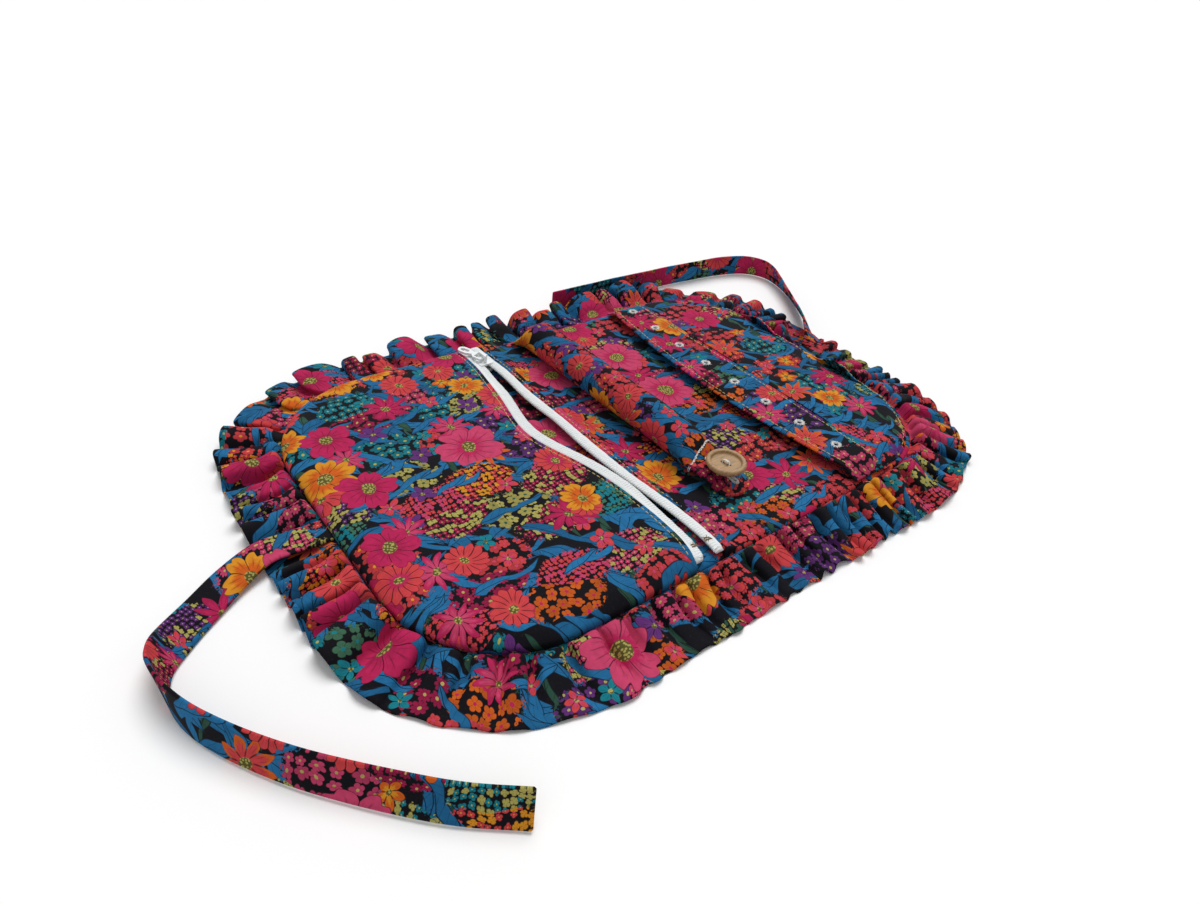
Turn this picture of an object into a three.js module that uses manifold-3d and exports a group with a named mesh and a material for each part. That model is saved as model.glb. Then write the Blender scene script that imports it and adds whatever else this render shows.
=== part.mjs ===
// Padded jewellery pouch that lies open like a book, in millimetres.
// Origin: middle of the underside. +X runs along the pouch to the slip pocket end, +Z is up.
import * as THREE from 'three';
import { mergeVertices } from 'three/addons/utils/BufferGeometryUtils.js';
import Module from 'manifold-3d';

const wasm = await Module();
wasm.setup();

// Panel, measured along its seam
const panelLength = 320;
const panelDepth = 211;
const cornerRadius = 58;
const spineWidth = 44;
const spineCentre = 8.5;
const foldGap = 0.4;
const clear = 0.3;

// Cloth layers of the panel
const coverCloth = 1.0;
const waddingThickness = 3.4;
const liningCloth = 0.9;
const coverEdgeRound = 2.2;

// Gathered ruffle round the seam
const ruffleReach = 31;
const ruffleCloth = 1.4;
const ruffleSeamHeight = 2.4;
const ruffleCrest = 8.6;
const foldPitch = 13;
const foldFlatLength = 4;
const foldFadeLength = 12;
const tieTuckReach = 8.5;

// Zip pocket
const pocketCloth = 1.1;
const pocketRise = 7.4;
const zipFarX = -33.5;
const zipNearX = -28.5;
const mouthHalfWidth = 5.6;
const tapeShown = 4.6;
const tapeTuck = 2.5;
const tapeThickness = 0.6;
const coilRadius = 1.3;
const coilFarInset = 15.5;
const coilNearInset = 3;
const tapeFarInset = 6.5;

// Zip slider and its pull
const sliderInset = 20.5;
const sliderLength = 10.5;
const sliderWidth = 8.8;
const sliderPlate = 1.1;
const sliderPost = 1.3;
const bailBar = 1.2;
const bailLength = 6.8;
const pullThickness = 1.3;
const pullYaw = 22;
const pullLoopLength = 17;
const pullLoopWidth = 5.6;
const pullWaist = 2.8;

// Ring bar
const ringBarRadius = 10;
const ringBarLength = 152.5;
const ringBarFarX = 6;
const ringBarFarInset = 8.5;
const ringBarSlant = 1.97;
const ringBarCloth = 1.0;
const barEndWall = 1.2;
const barEndHeight = 7.4;
const barEndHalfWidth = 12.5;
const barEndHalfHeight = 2.2;
const tabLength = 25;
const tabThickness = 2;
const tabYaw = 16;
const tabTilt = 12.8;
const buttonFromBar = 11;
const buttonholeLength = 21;
const buttonholeWidth = 2.2;
const whipStitch = 1.3;
const stitchThickness = 0.5;

// Wooden button
const buttonRadius = 10.2;
const buttonThickness = 4;
const buttonRim = 2.3;
const buttonDish = 1.3;
const buttonHoleRadius = 0.9;
const buttonHoleSpacing = 3.4;
const threadRadius = 0.6;

// Slip pocket
const slipCloth = 1.1;
const slipRise = 6;
const slipStartX = 97;
const slipHemInset = 4;
const slipMouthHalf = 78;

// Earring strip with its embroidered eyelets
const stripCloth = 1.3;
const stripMiddleWidth = 32;
const stripEndWidth = 22.5;
const stripLift = 5;
const eyeletCount = 8;
const eyeletFarInset = 15.5;
const eyeletNearInset = 24;
const eyeletOuter = 3.2;
const eyeletHole = 1;
const eyeletWall = 0.6;

// Ties
const tieWidth = 14.5;
const tieThickness = 1.4;

// Heights that follow from the layers
const waddingTop = coverCloth + clear + waddingThickness;
const liningBottom = waddingTop + clear;
const liningTop = liningBottom + liningCloth;
const pocketBase = liningTop + clear;
const halfLength = panelLength / 2;
const halfDepth = panelDepth / 2;
const foldLeftX = spineCentre - spineWidth / 2;
const foldRightX = spineCentre + spineWidth / 2;
const coilStart = halfDepth - coilFarInset;
const coilEnd = coilNearInset - halfDepth;
const tapeFarEnd = halfDepth - tapeFarInset;
const sliderRestY = halfDepth - sliderInset;

const leftPart = { low: null, high: foldLeftX - foldGap / 2 };
const spinePart = { low: foldLeftX + foldGap / 2, high: foldRightX - foldGap / 2 };
const rightPart = { low: foldRightX + foldGap / 2, high: null };

const degree = Math.PI / 180;
const cornerSteps = 9;

// Colours read off the photographed materials
const material = (color, roughness, metalness = 0) => new THREE.MeshStandardMaterial({ color, roughness, metalness });
const printCloth = () => material(0x3d2f45, 0.85);
const whiteThread = () => material(0xe9e6df, 0.8);

// Solids from points

function faceOutward(geometry) {
  const solid = mergeVertices(geometry, 1e-5);
  const position = solid.getAttribute('position');
  const index = solid.getIndex().array;
  const a = new THREE.Vector3();
  const b = new THREE.Vector3();
  const c = new THREE.Vector3();
  let volume = 0;
  for (let i = 0; i < index.length; i += 3) {
    a.fromBufferAttribute(position, index[i]);
    b.fromBufferAttribute(position, index[i + 1]);
    c.fromBufferAttribute(position, index[i + 2]);
    volume += a.dot(b.cross(c));
  }
  if (volume < 0) {
    for (let i = 0; i < index.length; i += 3) {
      const held = index[i];
      index[i] = index[i + 1];
      index[i + 1] = held;
    }
  }
  return solid;
}

function geometryFrom(points, triangles) {
  const geometry = new THREE.BufferGeometry();
  geometry.setAttribute('position', new THREE.Float32BufferAttribute(points.flatMap((p) => [p.x, p.y, p.z]), 3));
  geometry.setIndex(triangles);
  return faceOutward(geometry);
}

// A closed skin through sections that are loops of the same number of points
function loft(sections) {
  const count = sections[0].length;
  const points = sections.flat();
  const triangles = [];
  for (let s = 0; s + 1 < sections.length; s += 1) {
    for (let i = 0; i < count; i += 1) {
      const next = (i + 1) % count;
      const a = s * count + i;
      const b = s * count + next;
      triangles.push(a, b, b + count, a, b + count, a + count);
    }
  }
  for (const s of [0, sections.length - 1]) {
    const middle = sections[s].reduce((sum, p) => sum.add(p), new THREE.Vector3()).divideScalar(count);
    points.push(middle);
    const hub = points.length - 1;
    for (let i = 0; i < count; i += 1) {
      const a = s * count + i;
      const b = s * count + ((i + 1) % count);
      triangles.push(...(s === 0 ? [hub, b, a] : [hub, a, b]));
    }
  }
  return geometryFrom(points, triangles);
}

// A thin slab between a top and a bottom grid; each row is { top: points, bottom: points }
function slab(rows) {
  const columns = rows[0].top.length;
  const points = rows.flatMap((row) => [...row.top, ...row.bottom]);
  const top = (r, c) => r * columns * 2 + c;
  const bottom = (r, c) => r * columns * 2 + columns + c;
  const triangles = [];
  const quad = (a, b, c, d) => triangles.push(a, b, c, a, c, d);
  const last = rows.length - 1;
  for (let r = 0; r < last; r += 1) {
    for (let c = 0; c + 1 < columns; c += 1) {
      quad(top(r, c), top(r, c + 1), top(r + 1, c + 1), top(r + 1, c));
      quad(bottom(r, c), bottom(r + 1, c), bottom(r + 1, c + 1), bottom(r, c + 1));
    }
    quad(top(r, 0), top(r + 1, 0), bottom(r + 1, 0), bottom(r, 0));
    quad(top(r, columns - 1), bottom(r, columns - 1), bottom(r + 1, columns - 1), top(r + 1, columns - 1));
  }
  for (let c = 0; c + 1 < columns; c += 1) {
    quad(top(0, c), bottom(0, c), bottom(0, c + 1), top(0, c + 1));
    quad(top(last, c), top(last, c + 1), bottom(last, c + 1), bottom(last, c));
  }
  return geometryFrom(points, triangles);
}

function solidOf(geometry) {
  const bare = geometry.clone();
  bare.deleteAttribute('normal');
  bare.deleteAttribute('uv');
  const merged = faceOutward(bare);
  return new wasm.Manifold(new wasm.Mesh({
    numProp: 3,
    vertProperties: new Float32Array(merged.getAttribute('position').array),
    triVerts: new Uint32Array(merged.getIndex().array),
  }));
}

function geometryOf(solid) {
  const mesh = solid.getMesh();
  const geometry = new THREE.BufferGeometry();
  geometry.setAttribute('position', new THREE.BufferAttribute(new Float32Array(mesh.vertProperties), 3));
  geometry.setIndex(new THREE.BufferAttribute(new Uint32Array(mesh.triVerts), 1));
  return geometry;
}

const cut = (body, ...tools) => geometryOf(tools.reduce((left, tool) => left.subtract(solidOf(tool)), solidOf(body)));
const join = (...bodies) => geometryOf(bodies.map(solidOf).reduce((whole, body) => whole.add(body)));
const common = (body, tool) => geometryOf(solidOf(body).intersect(solidOf(tool)));

function box(low, high) {
  const geometry = new THREE.BoxGeometry(high[0] - low[0], high[1] - low[1], high[2] - low[2]);
  geometry.translate((low[0] + high[0]) / 2, (low[1] + high[1]) / 2, (low[2] + high[2]) / 2);
  return geometry;
}

function plate(shape, bottom, top, curveSegments = 6) {
  const geometry = new THREE.ExtrudeGeometry(shape, { depth: top - bottom, bevelEnabled: false, curveSegments });
  geometry.translate(0, 0, bottom);
  return geometry;
}

// Interpolates rows of [place, value, ...] that are sorted by place
function along(rows, place, column = 1) {
  if (place <= rows[0][0]) {
    return rows[0][column];
  }
  for (let i = 1; i < rows.length; i += 1) {
    if (place <= rows[i][0]) {
      const share = (place - rows[i - 1][0]) / (rows[i][0] - rows[i - 1][0]);
      return rows[i - 1][column] + share * (rows[i][column] - rows[i - 1][column]);
    }
  }
  return rows[rows.length - 1][column];
}

const smooth = (share) => {
  const held = Math.min(1, Math.max(0, share));
  return held * held * (3 - 2 * held);
};

// Outline of a part of the panel: round at the pouch's ends, square at the folds
function outline(part, inset, foldInset, z) {
  const low = part.low === null ? -halfLength + inset : part.low + foldInset;
  const high = part.high === null ? halfLength - inset : part.high - foldInset;
  const depth = halfDepth - inset;
  const radius = cornerRadius - inset;
  const points = [];
  const corner = (x, y, round, start) => {
    if (!round) {
      points.push(new THREE.Vector3(x, y, z));
      return;
    }
    const centreX = x - Math.sign(x) * radius;
    const centreY = y - Math.sign(y) * radius;
    for (let i = 0; i <= cornerSteps; i += 1) {
      const angle = start + (i / cornerSteps) * 90 * degree;
      points.push(new THREE.Vector3(centreX + radius * Math.cos(angle), centreY + radius * Math.sin(angle), z));
    }
  };
  corner(low, -depth, part.low === null, 180 * degree);
  corner(high, -depth, part.high === null, 270 * degree);
  corner(high, depth, part.high === null, 0);
  corner(low, depth, part.low === null, 90 * degree);
  return points;
}

// Distance of a point inside the seam, as far as the rounded ends
function seamInset(x, y) {
  const dx = Math.abs(x) - (halfLength - cornerRadius);
  const dy = Math.abs(y) - (halfDepth - cornerRadius);
  if (dx > 0 && dy > 0) {
    return cornerRadius - Math.hypot(dx, dy);
  }
  return Math.min(halfLength - Math.abs(x), halfDepth - Math.abs(y));
}

// Panel layers

function tray(part, wall, floor, top, foldInset) {
  return loft([
    outline(part, wall + coverEdgeRound, foldInset, floor),
    outline(part, wall + coverEdgeRound * 0.3, foldInset, floor + coverEdgeRound * 0.45),
    outline(part, wall, foldInset, floor + coverEdgeRound),
    outline(part, wall, foldInset, top),
  ]);
}

function cover(part) {
  const throughFold = -2;
  return cut(tray(part, 0, 0, waddingTop, 0), tray(part, coverCloth, coverCloth, waddingTop + 1, throughFold));
}

const wadding = (part) => tray(part, coverCloth + clear, coverCloth + clear, waddingTop, 0);

const lining = (part) => loft([outline(part, 0, 0, liningBottom), outline(part, 0, 0, liningTop)]);

// Ruffle

// The seam of an end part, from the fold on the near side round the end to the fold on the far side
function endRoute(part) {
  const side = part.low === null ? -1 : 1;
  const fold = side < 0 ? part.high : part.low;
  const straight = halfLength - cornerRadius - side * fold;
  const arc = 90 * degree * cornerRadius;
  const end = panelDepth - 2 * cornerRadius;
  const centreX = side * (halfLength - cornerRadius);
  const centreY = halfDepth - cornerRadius;
  const at = (distance) => {
    let rest = distance;
    if (rest <= straight) {
      return { x: fold + side * rest, y: -halfDepth, nx: 0, ny: -1 };
    }
    rest -= straight;
    if (rest <= arc) {
      const angle = rest / cornerRadius;
      const nx = side * Math.sin(angle);
      const ny = -Math.cos(angle);
      return { x: centreX + cornerRadius * nx, y: -centreY + cornerRadius * ny, nx, ny };
    }
    rest -= arc;
    if (rest <= end) {
      return { x: side * halfLength, y: -centreY + rest, nx: side, ny: 0 };
    }
    rest -= end;
    if (rest <= arc) {
      const angle = rest / cornerRadius;
      const nx = side * Math.cos(angle);
      const ny = Math.sin(angle);
      return { x: centreX + cornerRadius * nx, y: centreY + cornerRadius * ny, nx, ny };
    }
    rest -= arc;
    return { x: centreX - side * rest, y: halfDepth, nx: 0, ny: 1 };
  };
  return { length: 2 * straight + 2 * arc + end, at, side };
}

function spineRoute(part, side) {
  const at = (distance) => ({ x: part.low + distance, y: side * halfDepth, nx: 0, ny: side });
  return { length: part.high - part.low, at, side: 0 };
}

const ruffleColumns = [0, 0.35, 0.75, 1];
const ruffleValley = [[0, ruffleSeamHeight], [0.35, ruffleSeamHeight * 0.4], [0.75, 0], [1, 0]];
const ruffleHill = [[0, 0], [0.35, 0.5], [0.75, 1], [1, 0.85]];
const stepsPerFold = 4;
const wave = [0, 0.5, 1, 0.5];

const tieRootY = 3;
// Routes of the ties from the seam; each point is [x, y, height of the lower edge, lean],
// where lean 0 lies flat and 90 stands on edge
const tieSeatHeight = ruffleSeamHeight + ruffleCloth + clear + 0.2;
const leftTieRoute = [
  [-halfLength - clear, tieRootY, tieSeatHeight, 0], [-168, tieRootY, tieSeatHeight, 0], [-178, 3, 4.7, 0],
  [-190, 2, 4.8, 4], [-204, -4, 2.6, 10], [-219, -14, 0.8, 16], [-231, -24, 0.3, 30], [-239, -35, 0.2, 62],
  [-240.5, -50, 0.4, 88], [-235, -68, 0.4, 104],
  [-224, -87, 0.4, 112], [-208, -108, 0.4, 118], [-191, -127, 0.4, 122], [-175, -143, 0.4, 124],
  [-159, -156, 0.4, 124],
];
const rightTieRoute = [
  [halfLength + clear, tieRootY, tieSeatHeight, 180], [166, tieRootY, tieSeatHeight, 174], [171, 7.6, 4.5, 156],
  [175.5, 14.5, 4.6, 134], [181.5, 22, 4.3, 124], [189, 31, 3.6, 122], [197.5, 41, 2.4, 124], [206, 52, 1.2, 126],
  [214.5, 65, 0.5, 124], [222, 79, 0.4, 117], [227.5, 93, 0.4, 106], [228.5, 106, 0.4, 97], [220, 118, 0.4, 91],
  [200, 125, 0.4, 88], [172, 128.5, 0.4, 90], [146, 131, 0.4, 90], [118, 133, 0.4, 90], [86, 134.5, 0.4, 90],
  [51, 135, 0.4, 90],
];

// Where a tie lies over the ruffle the folds are pressed down
const tiePressHalf = 11;
const tiePressFade = 8;
const pressedShare = 0.12;

function pressAt(x, y, tieRoute) {
  let nearest = Infinity;
  for (let i = 0; i + 1 < tieRoute.length; i += 1) {
    const [ax, ay] = tieRoute[i];
    const [bx, by] = tieRoute[i + 1];
    const share = ((x - ax) * (bx - ax) + (y - ay) * (by - ay)) / ((bx - ax) ** 2 + (by - ay) ** 2);
    const held = Math.min(1, Math.max(0, share));
    nearest = Math.min(nearest, Math.hypot(x - ax - held * (bx - ax), y - ay - held * (by - ay)));
  }
  return 1 - (1 - pressedShare) * (1 - smooth((nearest - tiePressHalf) / tiePressFade));
}

// The far side of the right end is gathered in closer, where the tie lies against it
function tuck(place, side) {
  if (side <= 0 || place.ny <= 0) {
    return 0;
  }
  return tieTuckReach * smooth((place.ny - 0.3) / 0.4);
}

function ruffle(route, tieRoute) {
  const folds = Math.round(route.length / foldPitch);
  const count = folds * stepsPerFold;
  const rows = [];
  for (let k = 0; k <= count; k += 1) {
    const fold = k / stepsPerFold;
    const drift = 0.16 * foldPitch * Math.sin(2.4 * fold) * Math.sin((Math.PI * k) / count);
    const distance = (route.length * k) / count + drift;
    const place = route.at(distance);
    const fromEnd = Math.min(distance, route.length - distance);
    const toFold = smooth((fromEnd - foldFlatLength) / foldFadeLength);
    const crest = (ruffleCrest - ruffleCloth) * (0.8 + 0.2 * Math.sin(1.9 * fold + 0.7)) * toFold;
    const lift = wave[k % stepsPerFold];
    const reach = ruffleReach * (0.93 + 0.07 * lift) - tuck(place, route.side);
    const top = [];
    const bottom = [];
    for (const share of ruffleColumns) {
      const out = clear + share * (reach - clear);
      const x = place.x + place.nx * out;
      const y = place.y + place.ny * out;
      const z = along(ruffleValley, share) + crest * lift * along(ruffleHill, share) * pressAt(x, y, tieRoute);
      top.push(new THREE.Vector3(x, y, z + ruffleCloth));
      bottom.push(new THREE.Vector3(x, y, z));
    }
    rows.push({ top, bottom });
  }
  return slab(rows);
}

// Zip line and the two edges of its mouth

const zipLine = (y) => zipFarX + ((sliderRestY - y) / (sliderRestY - coilEnd)) * (zipNearX - zipFarX);
// Offsets of the coils from the line, by place as a share of the half depth
const leftCoilOffsets = [
  [-1.02, -8], [-0.87, -3.6], [-0.68, -2.4], [-0.47, -3.2], [-0.3, -5.8], [-0.16, -9.8], [-0.04, -14], [0.06, -16.3],
  [0.13, -16.6], [0.22, -15.2], [0.32, -12.4], [0.45, -9], [0.59, -6], [0.72, -3.4], [0.8, -2.6], [0.85, -2.4],
];
const rightCoilOffsets = [
  [-1.02, 2.6], [-0.87, 3.2], [-0.57, 2.6], [-0.24, 2.2], [0.14, 2], [0.47, 2.2], [0.8, 2.6], [0.85, 2.4],
];
const leftCoilX = (y) => zipLine(y) + along(leftCoilOffsets, y / halfDepth);
const rightCoilX = (y) => zipLine(y) + along(rightCoilOffsets, y / halfDepth);
const leftEdgeX = (y) => Math.min(zipLine(y) - mouthHalfWidth, leftCoilX(y) - tapeShown);
const rightEdgeX = (y) => Math.max(zipLine(y) + mouthHalfWidth, rightCoilX(y) + tapeShown);

// Rise of the pocket's top as a share of its full rise, by distance from the seam and from the fold
const seamRise = [[0.6, 0], [0.9, 0.25], [2.4, 0.55], [6.5, 0.83], [15, 0.97], [28, 1]];
const foldRise = [[0.1, 0], [2.5, 0.25], [7, 0.48], [13, 0.68], [20, 0.85], [30, 0.96], [38, 1]];
const domeShares = [0, 0.25, 0.48, 0.68, 0.83, 0.96, 1];

const placeAt = (rows, share) => along(rows.map((row) => [row[1], row[0]]), share);

function dome(part, seamRows, foldRows, base, rise, wall) {
  const rings = domeShares.map((share) => outline(
    part,
    placeAt(seamRows, share) + wall,
    placeAt(foldRows, share) + wall,
    base + rise * share - wall,
  ));
  if (wall > 0) {
    const foot = outline(part, placeAt(seamRows, 0) + wall, placeAt(foldRows, 0) + wall, base - wall - 1);
    rings.unshift(foot);
  }
  return loft(rings);
}

function pocketUnderside(x, y) {
  const fromSeam = seamInset(x, y) - pocketCloth;
  const fromFold = leftPart.high - x - pocketCloth;
  const share = Math.min(along(seamRise, fromSeam), along(foldRise, fromFold));
  return pocketBase + pocketRise * share - pocketCloth;
}

// A tall prism in plan between two edges given as x of y
function curtain(lowX, highX) {
  const reach = halfDepth + 5;
  const steps = 24;
  const rows = [];
  for (let i = 0; i <= steps; i += 1) {
    const y = -reach + (2 * reach * i) / steps;
    const ends = [lowX(y), highX(y)];
    rows.push({
      top: ends.map((x) => new THREE.Vector3(x, y, pocketBase + pocketRise + 5)),
      bottom: ends.map((x) => new THREE.Vector3(x, y, 0)),
    });
  }
  return slab(rows);
}

function pocketSkin() {
  const part = { low: null, high: leftPart.high };
  return cut(
    dome(part, seamRise, foldRise, pocketBase, pocketRise, 0),
    dome(part, seamRise, foldRise, pocketBase, pocketRise, pocketCloth),
  );
}

const zipPocketFront = () => common(pocketSkin(), curtain(() => -halfLength - 5, leftEdgeX));
const zipPocketFacing = () => common(pocketSkin(), curtain(rightEdgeX, () => foldLeftX + 5));

// Height of the middle of a tape where it lies against the cloth above it
const tapeHeight = (x, y) => pocketUnderside(x, y) - clear - tapeThickness / 2;

// Heights of the two coils along the zip; they meet at the slider
const rightZipHeight = (y) => tapeHeight(rightEdgeX(y), y);
const leftZipHeight = (y) => {
  const parted = smooth((70 - y) / 30) * smooth((y + 75) / 30);
  const low = rightZipHeight(y);
  return low + (tapeHeight(leftEdgeX(y), y) - low) * parted;
};

const coilSteps = 40;
const coilPlaces = Array.from({ length: coilSteps + 1 }, (_, i) => coilStart + ((coilEnd - coilStart) * i) / coilSteps);

function zipTape(edgeX, tuck, innerX, innerHeight) {
  const rows = [];
  for (const y of [tapeFarEnd, ...coilPlaces]) {
    const outerX = edgeX(y) + tuck;
    const line = [[outerX, tapeHeight(outerX, y)], [edgeX(y), tapeHeight(edgeX(y), y)], [innerX(y), innerHeight(y)]];
    rows.push({
      top: line.map(([x, z]) => new THREE.Vector3(x, y, z + tapeThickness / 2)),
      bottom: line.map(([x, z]) => new THREE.Vector3(x, y, z - tapeThickness / 2)),
    });
  }
  return slab(rows);
}

const tapeToCoil = coilRadius + clear;
const leftTape = () => zipTape(leftEdgeX, -tapeTuck, (y) => leftCoilX(y) - tapeToCoil, leftZipHeight);
const rightTape = () => zipTape(rightEdgeX, tapeTuck, (y) => rightCoilX(y) + tapeToCoil, rightZipHeight);

function zipCoil(x, height) {
  const sides = 6;
  const sections = [];
  for (const y of coilPlaces) {
    const centre = new THREE.Vector3(x(y), y, height(y));
    const section = [];
    for (let s = 0; s < sides; s += 1) {
      const angle = (360 * degree * s) / sides;
      section.push(new THREE.Vector3(coilRadius * Math.cos(angle), 0, coilRadius * Math.sin(angle)).add(centre));
    }
    sections.push(section);
  }
  return loft(sections);
}

// A few satin stitches over each coil at its near end
function barTack(x, height) {
  const tackY = coilEnd + 5;
  const tackLength = 1.6;
  const half = coilRadius + 0.4;
  const z = Math.max(height(tackY), height(tackY + tackLength)) + coilRadius + clear;
  return box([x(tackY) - half, tackY, z], [x(tackY) + half, tackY + tackLength, z + stitchThickness]);
}

// Slider: two plates joined by a post between the coils, with a bail on top
const channelHalf = coilRadius + 0.35;
const sliderTop = channelHalf + sliderPlate;
const pullAxisHeight = sliderTop + 1.7;
const bailInner = 2.9;
const bailTop = sliderTop + bailInner + bailBar;

function sliderOutline() {
  const halfWidth = sliderWidth / 2;
  const narrow = halfWidth * 0.72;
  const half = sliderLength / 2;
  const round = 1.4;
  const shape = new THREE.Shape();
  shape.moveTo(-halfWidth + round, -half);
  shape.lineTo(halfWidth - round, -half);
  shape.quadraticCurveTo(halfWidth, -half, halfWidth, -half + round);
  shape.lineTo(narrow, half - round);
  shape.quadraticCurveTo(narrow, half, narrow - round, half);
  shape.lineTo(-narrow + round, half);
  shape.quadraticCurveTo(-narrow, half, -narrow, half - round);
  shape.lineTo(-halfWidth, -half + round);
  shape.quadraticCurveTo(-halfWidth, -half, -halfWidth + round, -half);
  return shape;
}

function slider() {
  const overlap = 0.2;
  const halfBail = bailLength / 2;
  const halfBar = bailBar / 2;
  const post = box([-sliderPost / 2, -2.6, -channelHalf - overlap], [sliderPost / 2, 1.6, channelHalf + overlap]);
  const arch = cut(
    box([-halfBar, -halfBail, sliderTop - overlap], [halfBar, halfBail, bailTop]),
    box([-halfBar - 1, -halfBail + bailBar, sliderTop - 1], [halfBar + 1, halfBail - bailBar, sliderTop + bailInner]),
  );
  return join(
    plate(sliderOutline(), channelHalf, sliderTop, 3),
    plate(sliderOutline(), -sliderTop, -channelHalf, 3),
    post,
    arch,
  );
}

// Pull: an eye round the bail, a waist and a long loop
function pull() {
  const eyeHalf = 2.3;
  const eyeEnd = halfEyeReach() + 0.5;
  const rail = 1.3;
  const heel = 0.8;
  const shape = new THREE.Shape();
  shape.moveTo(-eyeHalf - rail, -heel);
  shape.lineTo(eyeHalf + rail, -heel);
  shape.lineTo(eyeHalf + rail, eyeEnd);
  shape.quadraticCurveTo(eyeHalf, eyeEnd + 1.6, pullWaist / 2, eyeEnd + 2.2);
  shape.lineTo(pullLoopWidth / 2, pullLoopLength - 6.5);
  shape.lineTo(pullLoopWidth / 2, pullLoopLength - pullLoopWidth / 2);
  shape.absarc(0, pullLoopLength - pullLoopWidth / 2, pullLoopWidth / 2, 0, 180 * degree, false);
  shape.lineTo(-pullLoopWidth / 2, pullLoopLength - 6.5);
  shape.lineTo(-pullWaist / 2, eyeEnd + 2.2);
  shape.quadraticCurveTo(-eyeHalf, eyeEnd + 1.6, -eyeHalf - rail, eyeEnd);
  shape.lineTo(-eyeHalf - rail, -heel);
  const eye = new THREE.Path();
  eye.moveTo(-eyeHalf, heel + 0.1);
  eye.lineTo(-eyeHalf, eyeEnd);
  eye.lineTo(eyeHalf, eyeEnd);
  eye.lineTo(eyeHalf, heel + 0.1);
  eye.lineTo(-eyeHalf, heel + 0.1);
  const slotRadius = pullLoopWidth / 2 - 1.5;
  const slotFar = pullLoopLength - pullLoopWidth / 2;
  const slotNear = pullLoopLength - 6;
  const slot = new THREE.Path();
  slot.absarc(0, slotFar, slotRadius, 0, 180 * degree, false);
  slot.absarc(0, slotNear, slotRadius, 180 * degree, 360 * degree, false);
  slot.closePath();
  shape.holes.push(eye, slot);
  return plate(shape, -pullThickness / 2, pullThickness / 2, 5);
}

// Farthest corner of the bail from the pull's axis
function halfEyeReach() {
  return Math.hypot(bailLength / 2, bailTop - pullAxisHeight);
}

// Ring bar, in its own frame: it lies along -Y from its sewn far end, heights from the lining up
const barStations = [
  { from: 'far', y: 3, width: ringBarRadius * 0.95, height: ringBarRadius * 0.5 },
  { from: 'far', y: 6, width: ringBarRadius * 0.97, height: ringBarRadius * 0.8 },
  { from: 'far', y: 12, width: ringBarRadius, height: ringBarRadius },
  { from: 'near', y: 24, width: ringBarRadius, height: ringBarRadius },
  { from: 'near', y: 12, width: ringBarRadius * 1.05, height: ringBarRadius * 0.88 },
  { from: 'near', y: 5, width: (ringBarRadius + barEndHalfWidth) / 2, height: (ringBarRadius + barEndHalfHeight) / 2.2 },
  { from: 'near', y: 0, width: barEndHalfWidth, height: barEndHalfHeight },
];

function barSection(station, shrink) {
  const sides = 16;
  const y = station.from === 'far' ? -station.y : -ringBarLength + station.y;
  const resting = station.height;
  const raised = Math.max(resting, barEndHeight);
  const centre = station.from === 'near' && station.y < 10 ? raised : resting;
  const section = [];
  for (let s = 0; s < sides; s += 1) {
    const angle = (360 * degree * s) / sides;
    section.push(new THREE.Vector3(
      (station.width - shrink) * Math.cos(angle),
      y,
      centre + (station.height - shrink) * Math.sin(angle),
    ));
  }
  return section;
}

// The stations inside the cover, stopping short of the flattened end
function barInside(wall) {
  const last = barStations.length - 2;
  return barStations.slice(0, last + 1).map((station, i) => (i === last ? { ...station, y: station.y + wall } : station));
}

function ringBarCover() {
  const outer = loft(barStations.map((station) => barSection(station, 0)));
  const openEnd = { ...barStations[0], y: 0 };
  return cut(outer, loft([openEnd, ...barInside(barEndWall)].map((station) => barSection(station, ringBarCloth))));
}

function ringBarFilling() {
  return loft(barInside(barEndWall + clear).map((station) => barSection(station, ringBarCloth + clear)));
}

// A line of white stitches over the flattened end of the bar
function endStitch() {
  const stitchY = [1.2, 2.4];
  const rows = stitchY.map((y) => {
    const share = y / 5;
    const near = barStations[6];
    const next = barStations[5];
    const width = near.width + share * (next.width - near.width);
    const height = near.height + share * (next.height - near.height);
    const top = [];
    const bottom = [];
    for (let i = 0; i <= 10; i += 1) {
      const angle = (18 + (144 * i) / 10) * degree;
      const on = (grow) => new THREE.Vector3(
        (width + grow) * Math.cos(angle),
        -ringBarLength + y,
        barEndHeight + (height + grow) * Math.sin(angle),
      );
      top.push(on(clear + stitchThickness + 0.2));
      bottom.push(on(clear + 0.2));
    }
    return { top, bottom };
  });
  return slab(rows);
}

// Buttoned tab, in its own frame: it runs along -Y from the end of the bar
function tabAxis(distance) {
  return new THREE.Vector2(Math.sin(tabYaw * degree) * distance, -Math.cos(tabYaw * degree) * distance);
}

function slotShape(grow) {
  const start = tabAxis(1.8 + buttonholeWidth / 2);
  const end = tabAxis(1.8 + buttonholeLength - buttonholeWidth / 2);
  const radius = buttonholeWidth / 2 + grow;
  const yaw = tabYaw * degree;
  const points = [];
  for (const [centre, turn] of [[start, 0], [end, 180 * degree]]) {
    for (let i = 0; i <= 4; i += 1) {
      const angle = yaw + turn + (i / 4) * 180 * degree;
      points.push(new THREE.Vector2(centre.x + radius * Math.cos(angle), centre.y + radius * Math.sin(angle)));
    }
  }
  return points;
}

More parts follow.
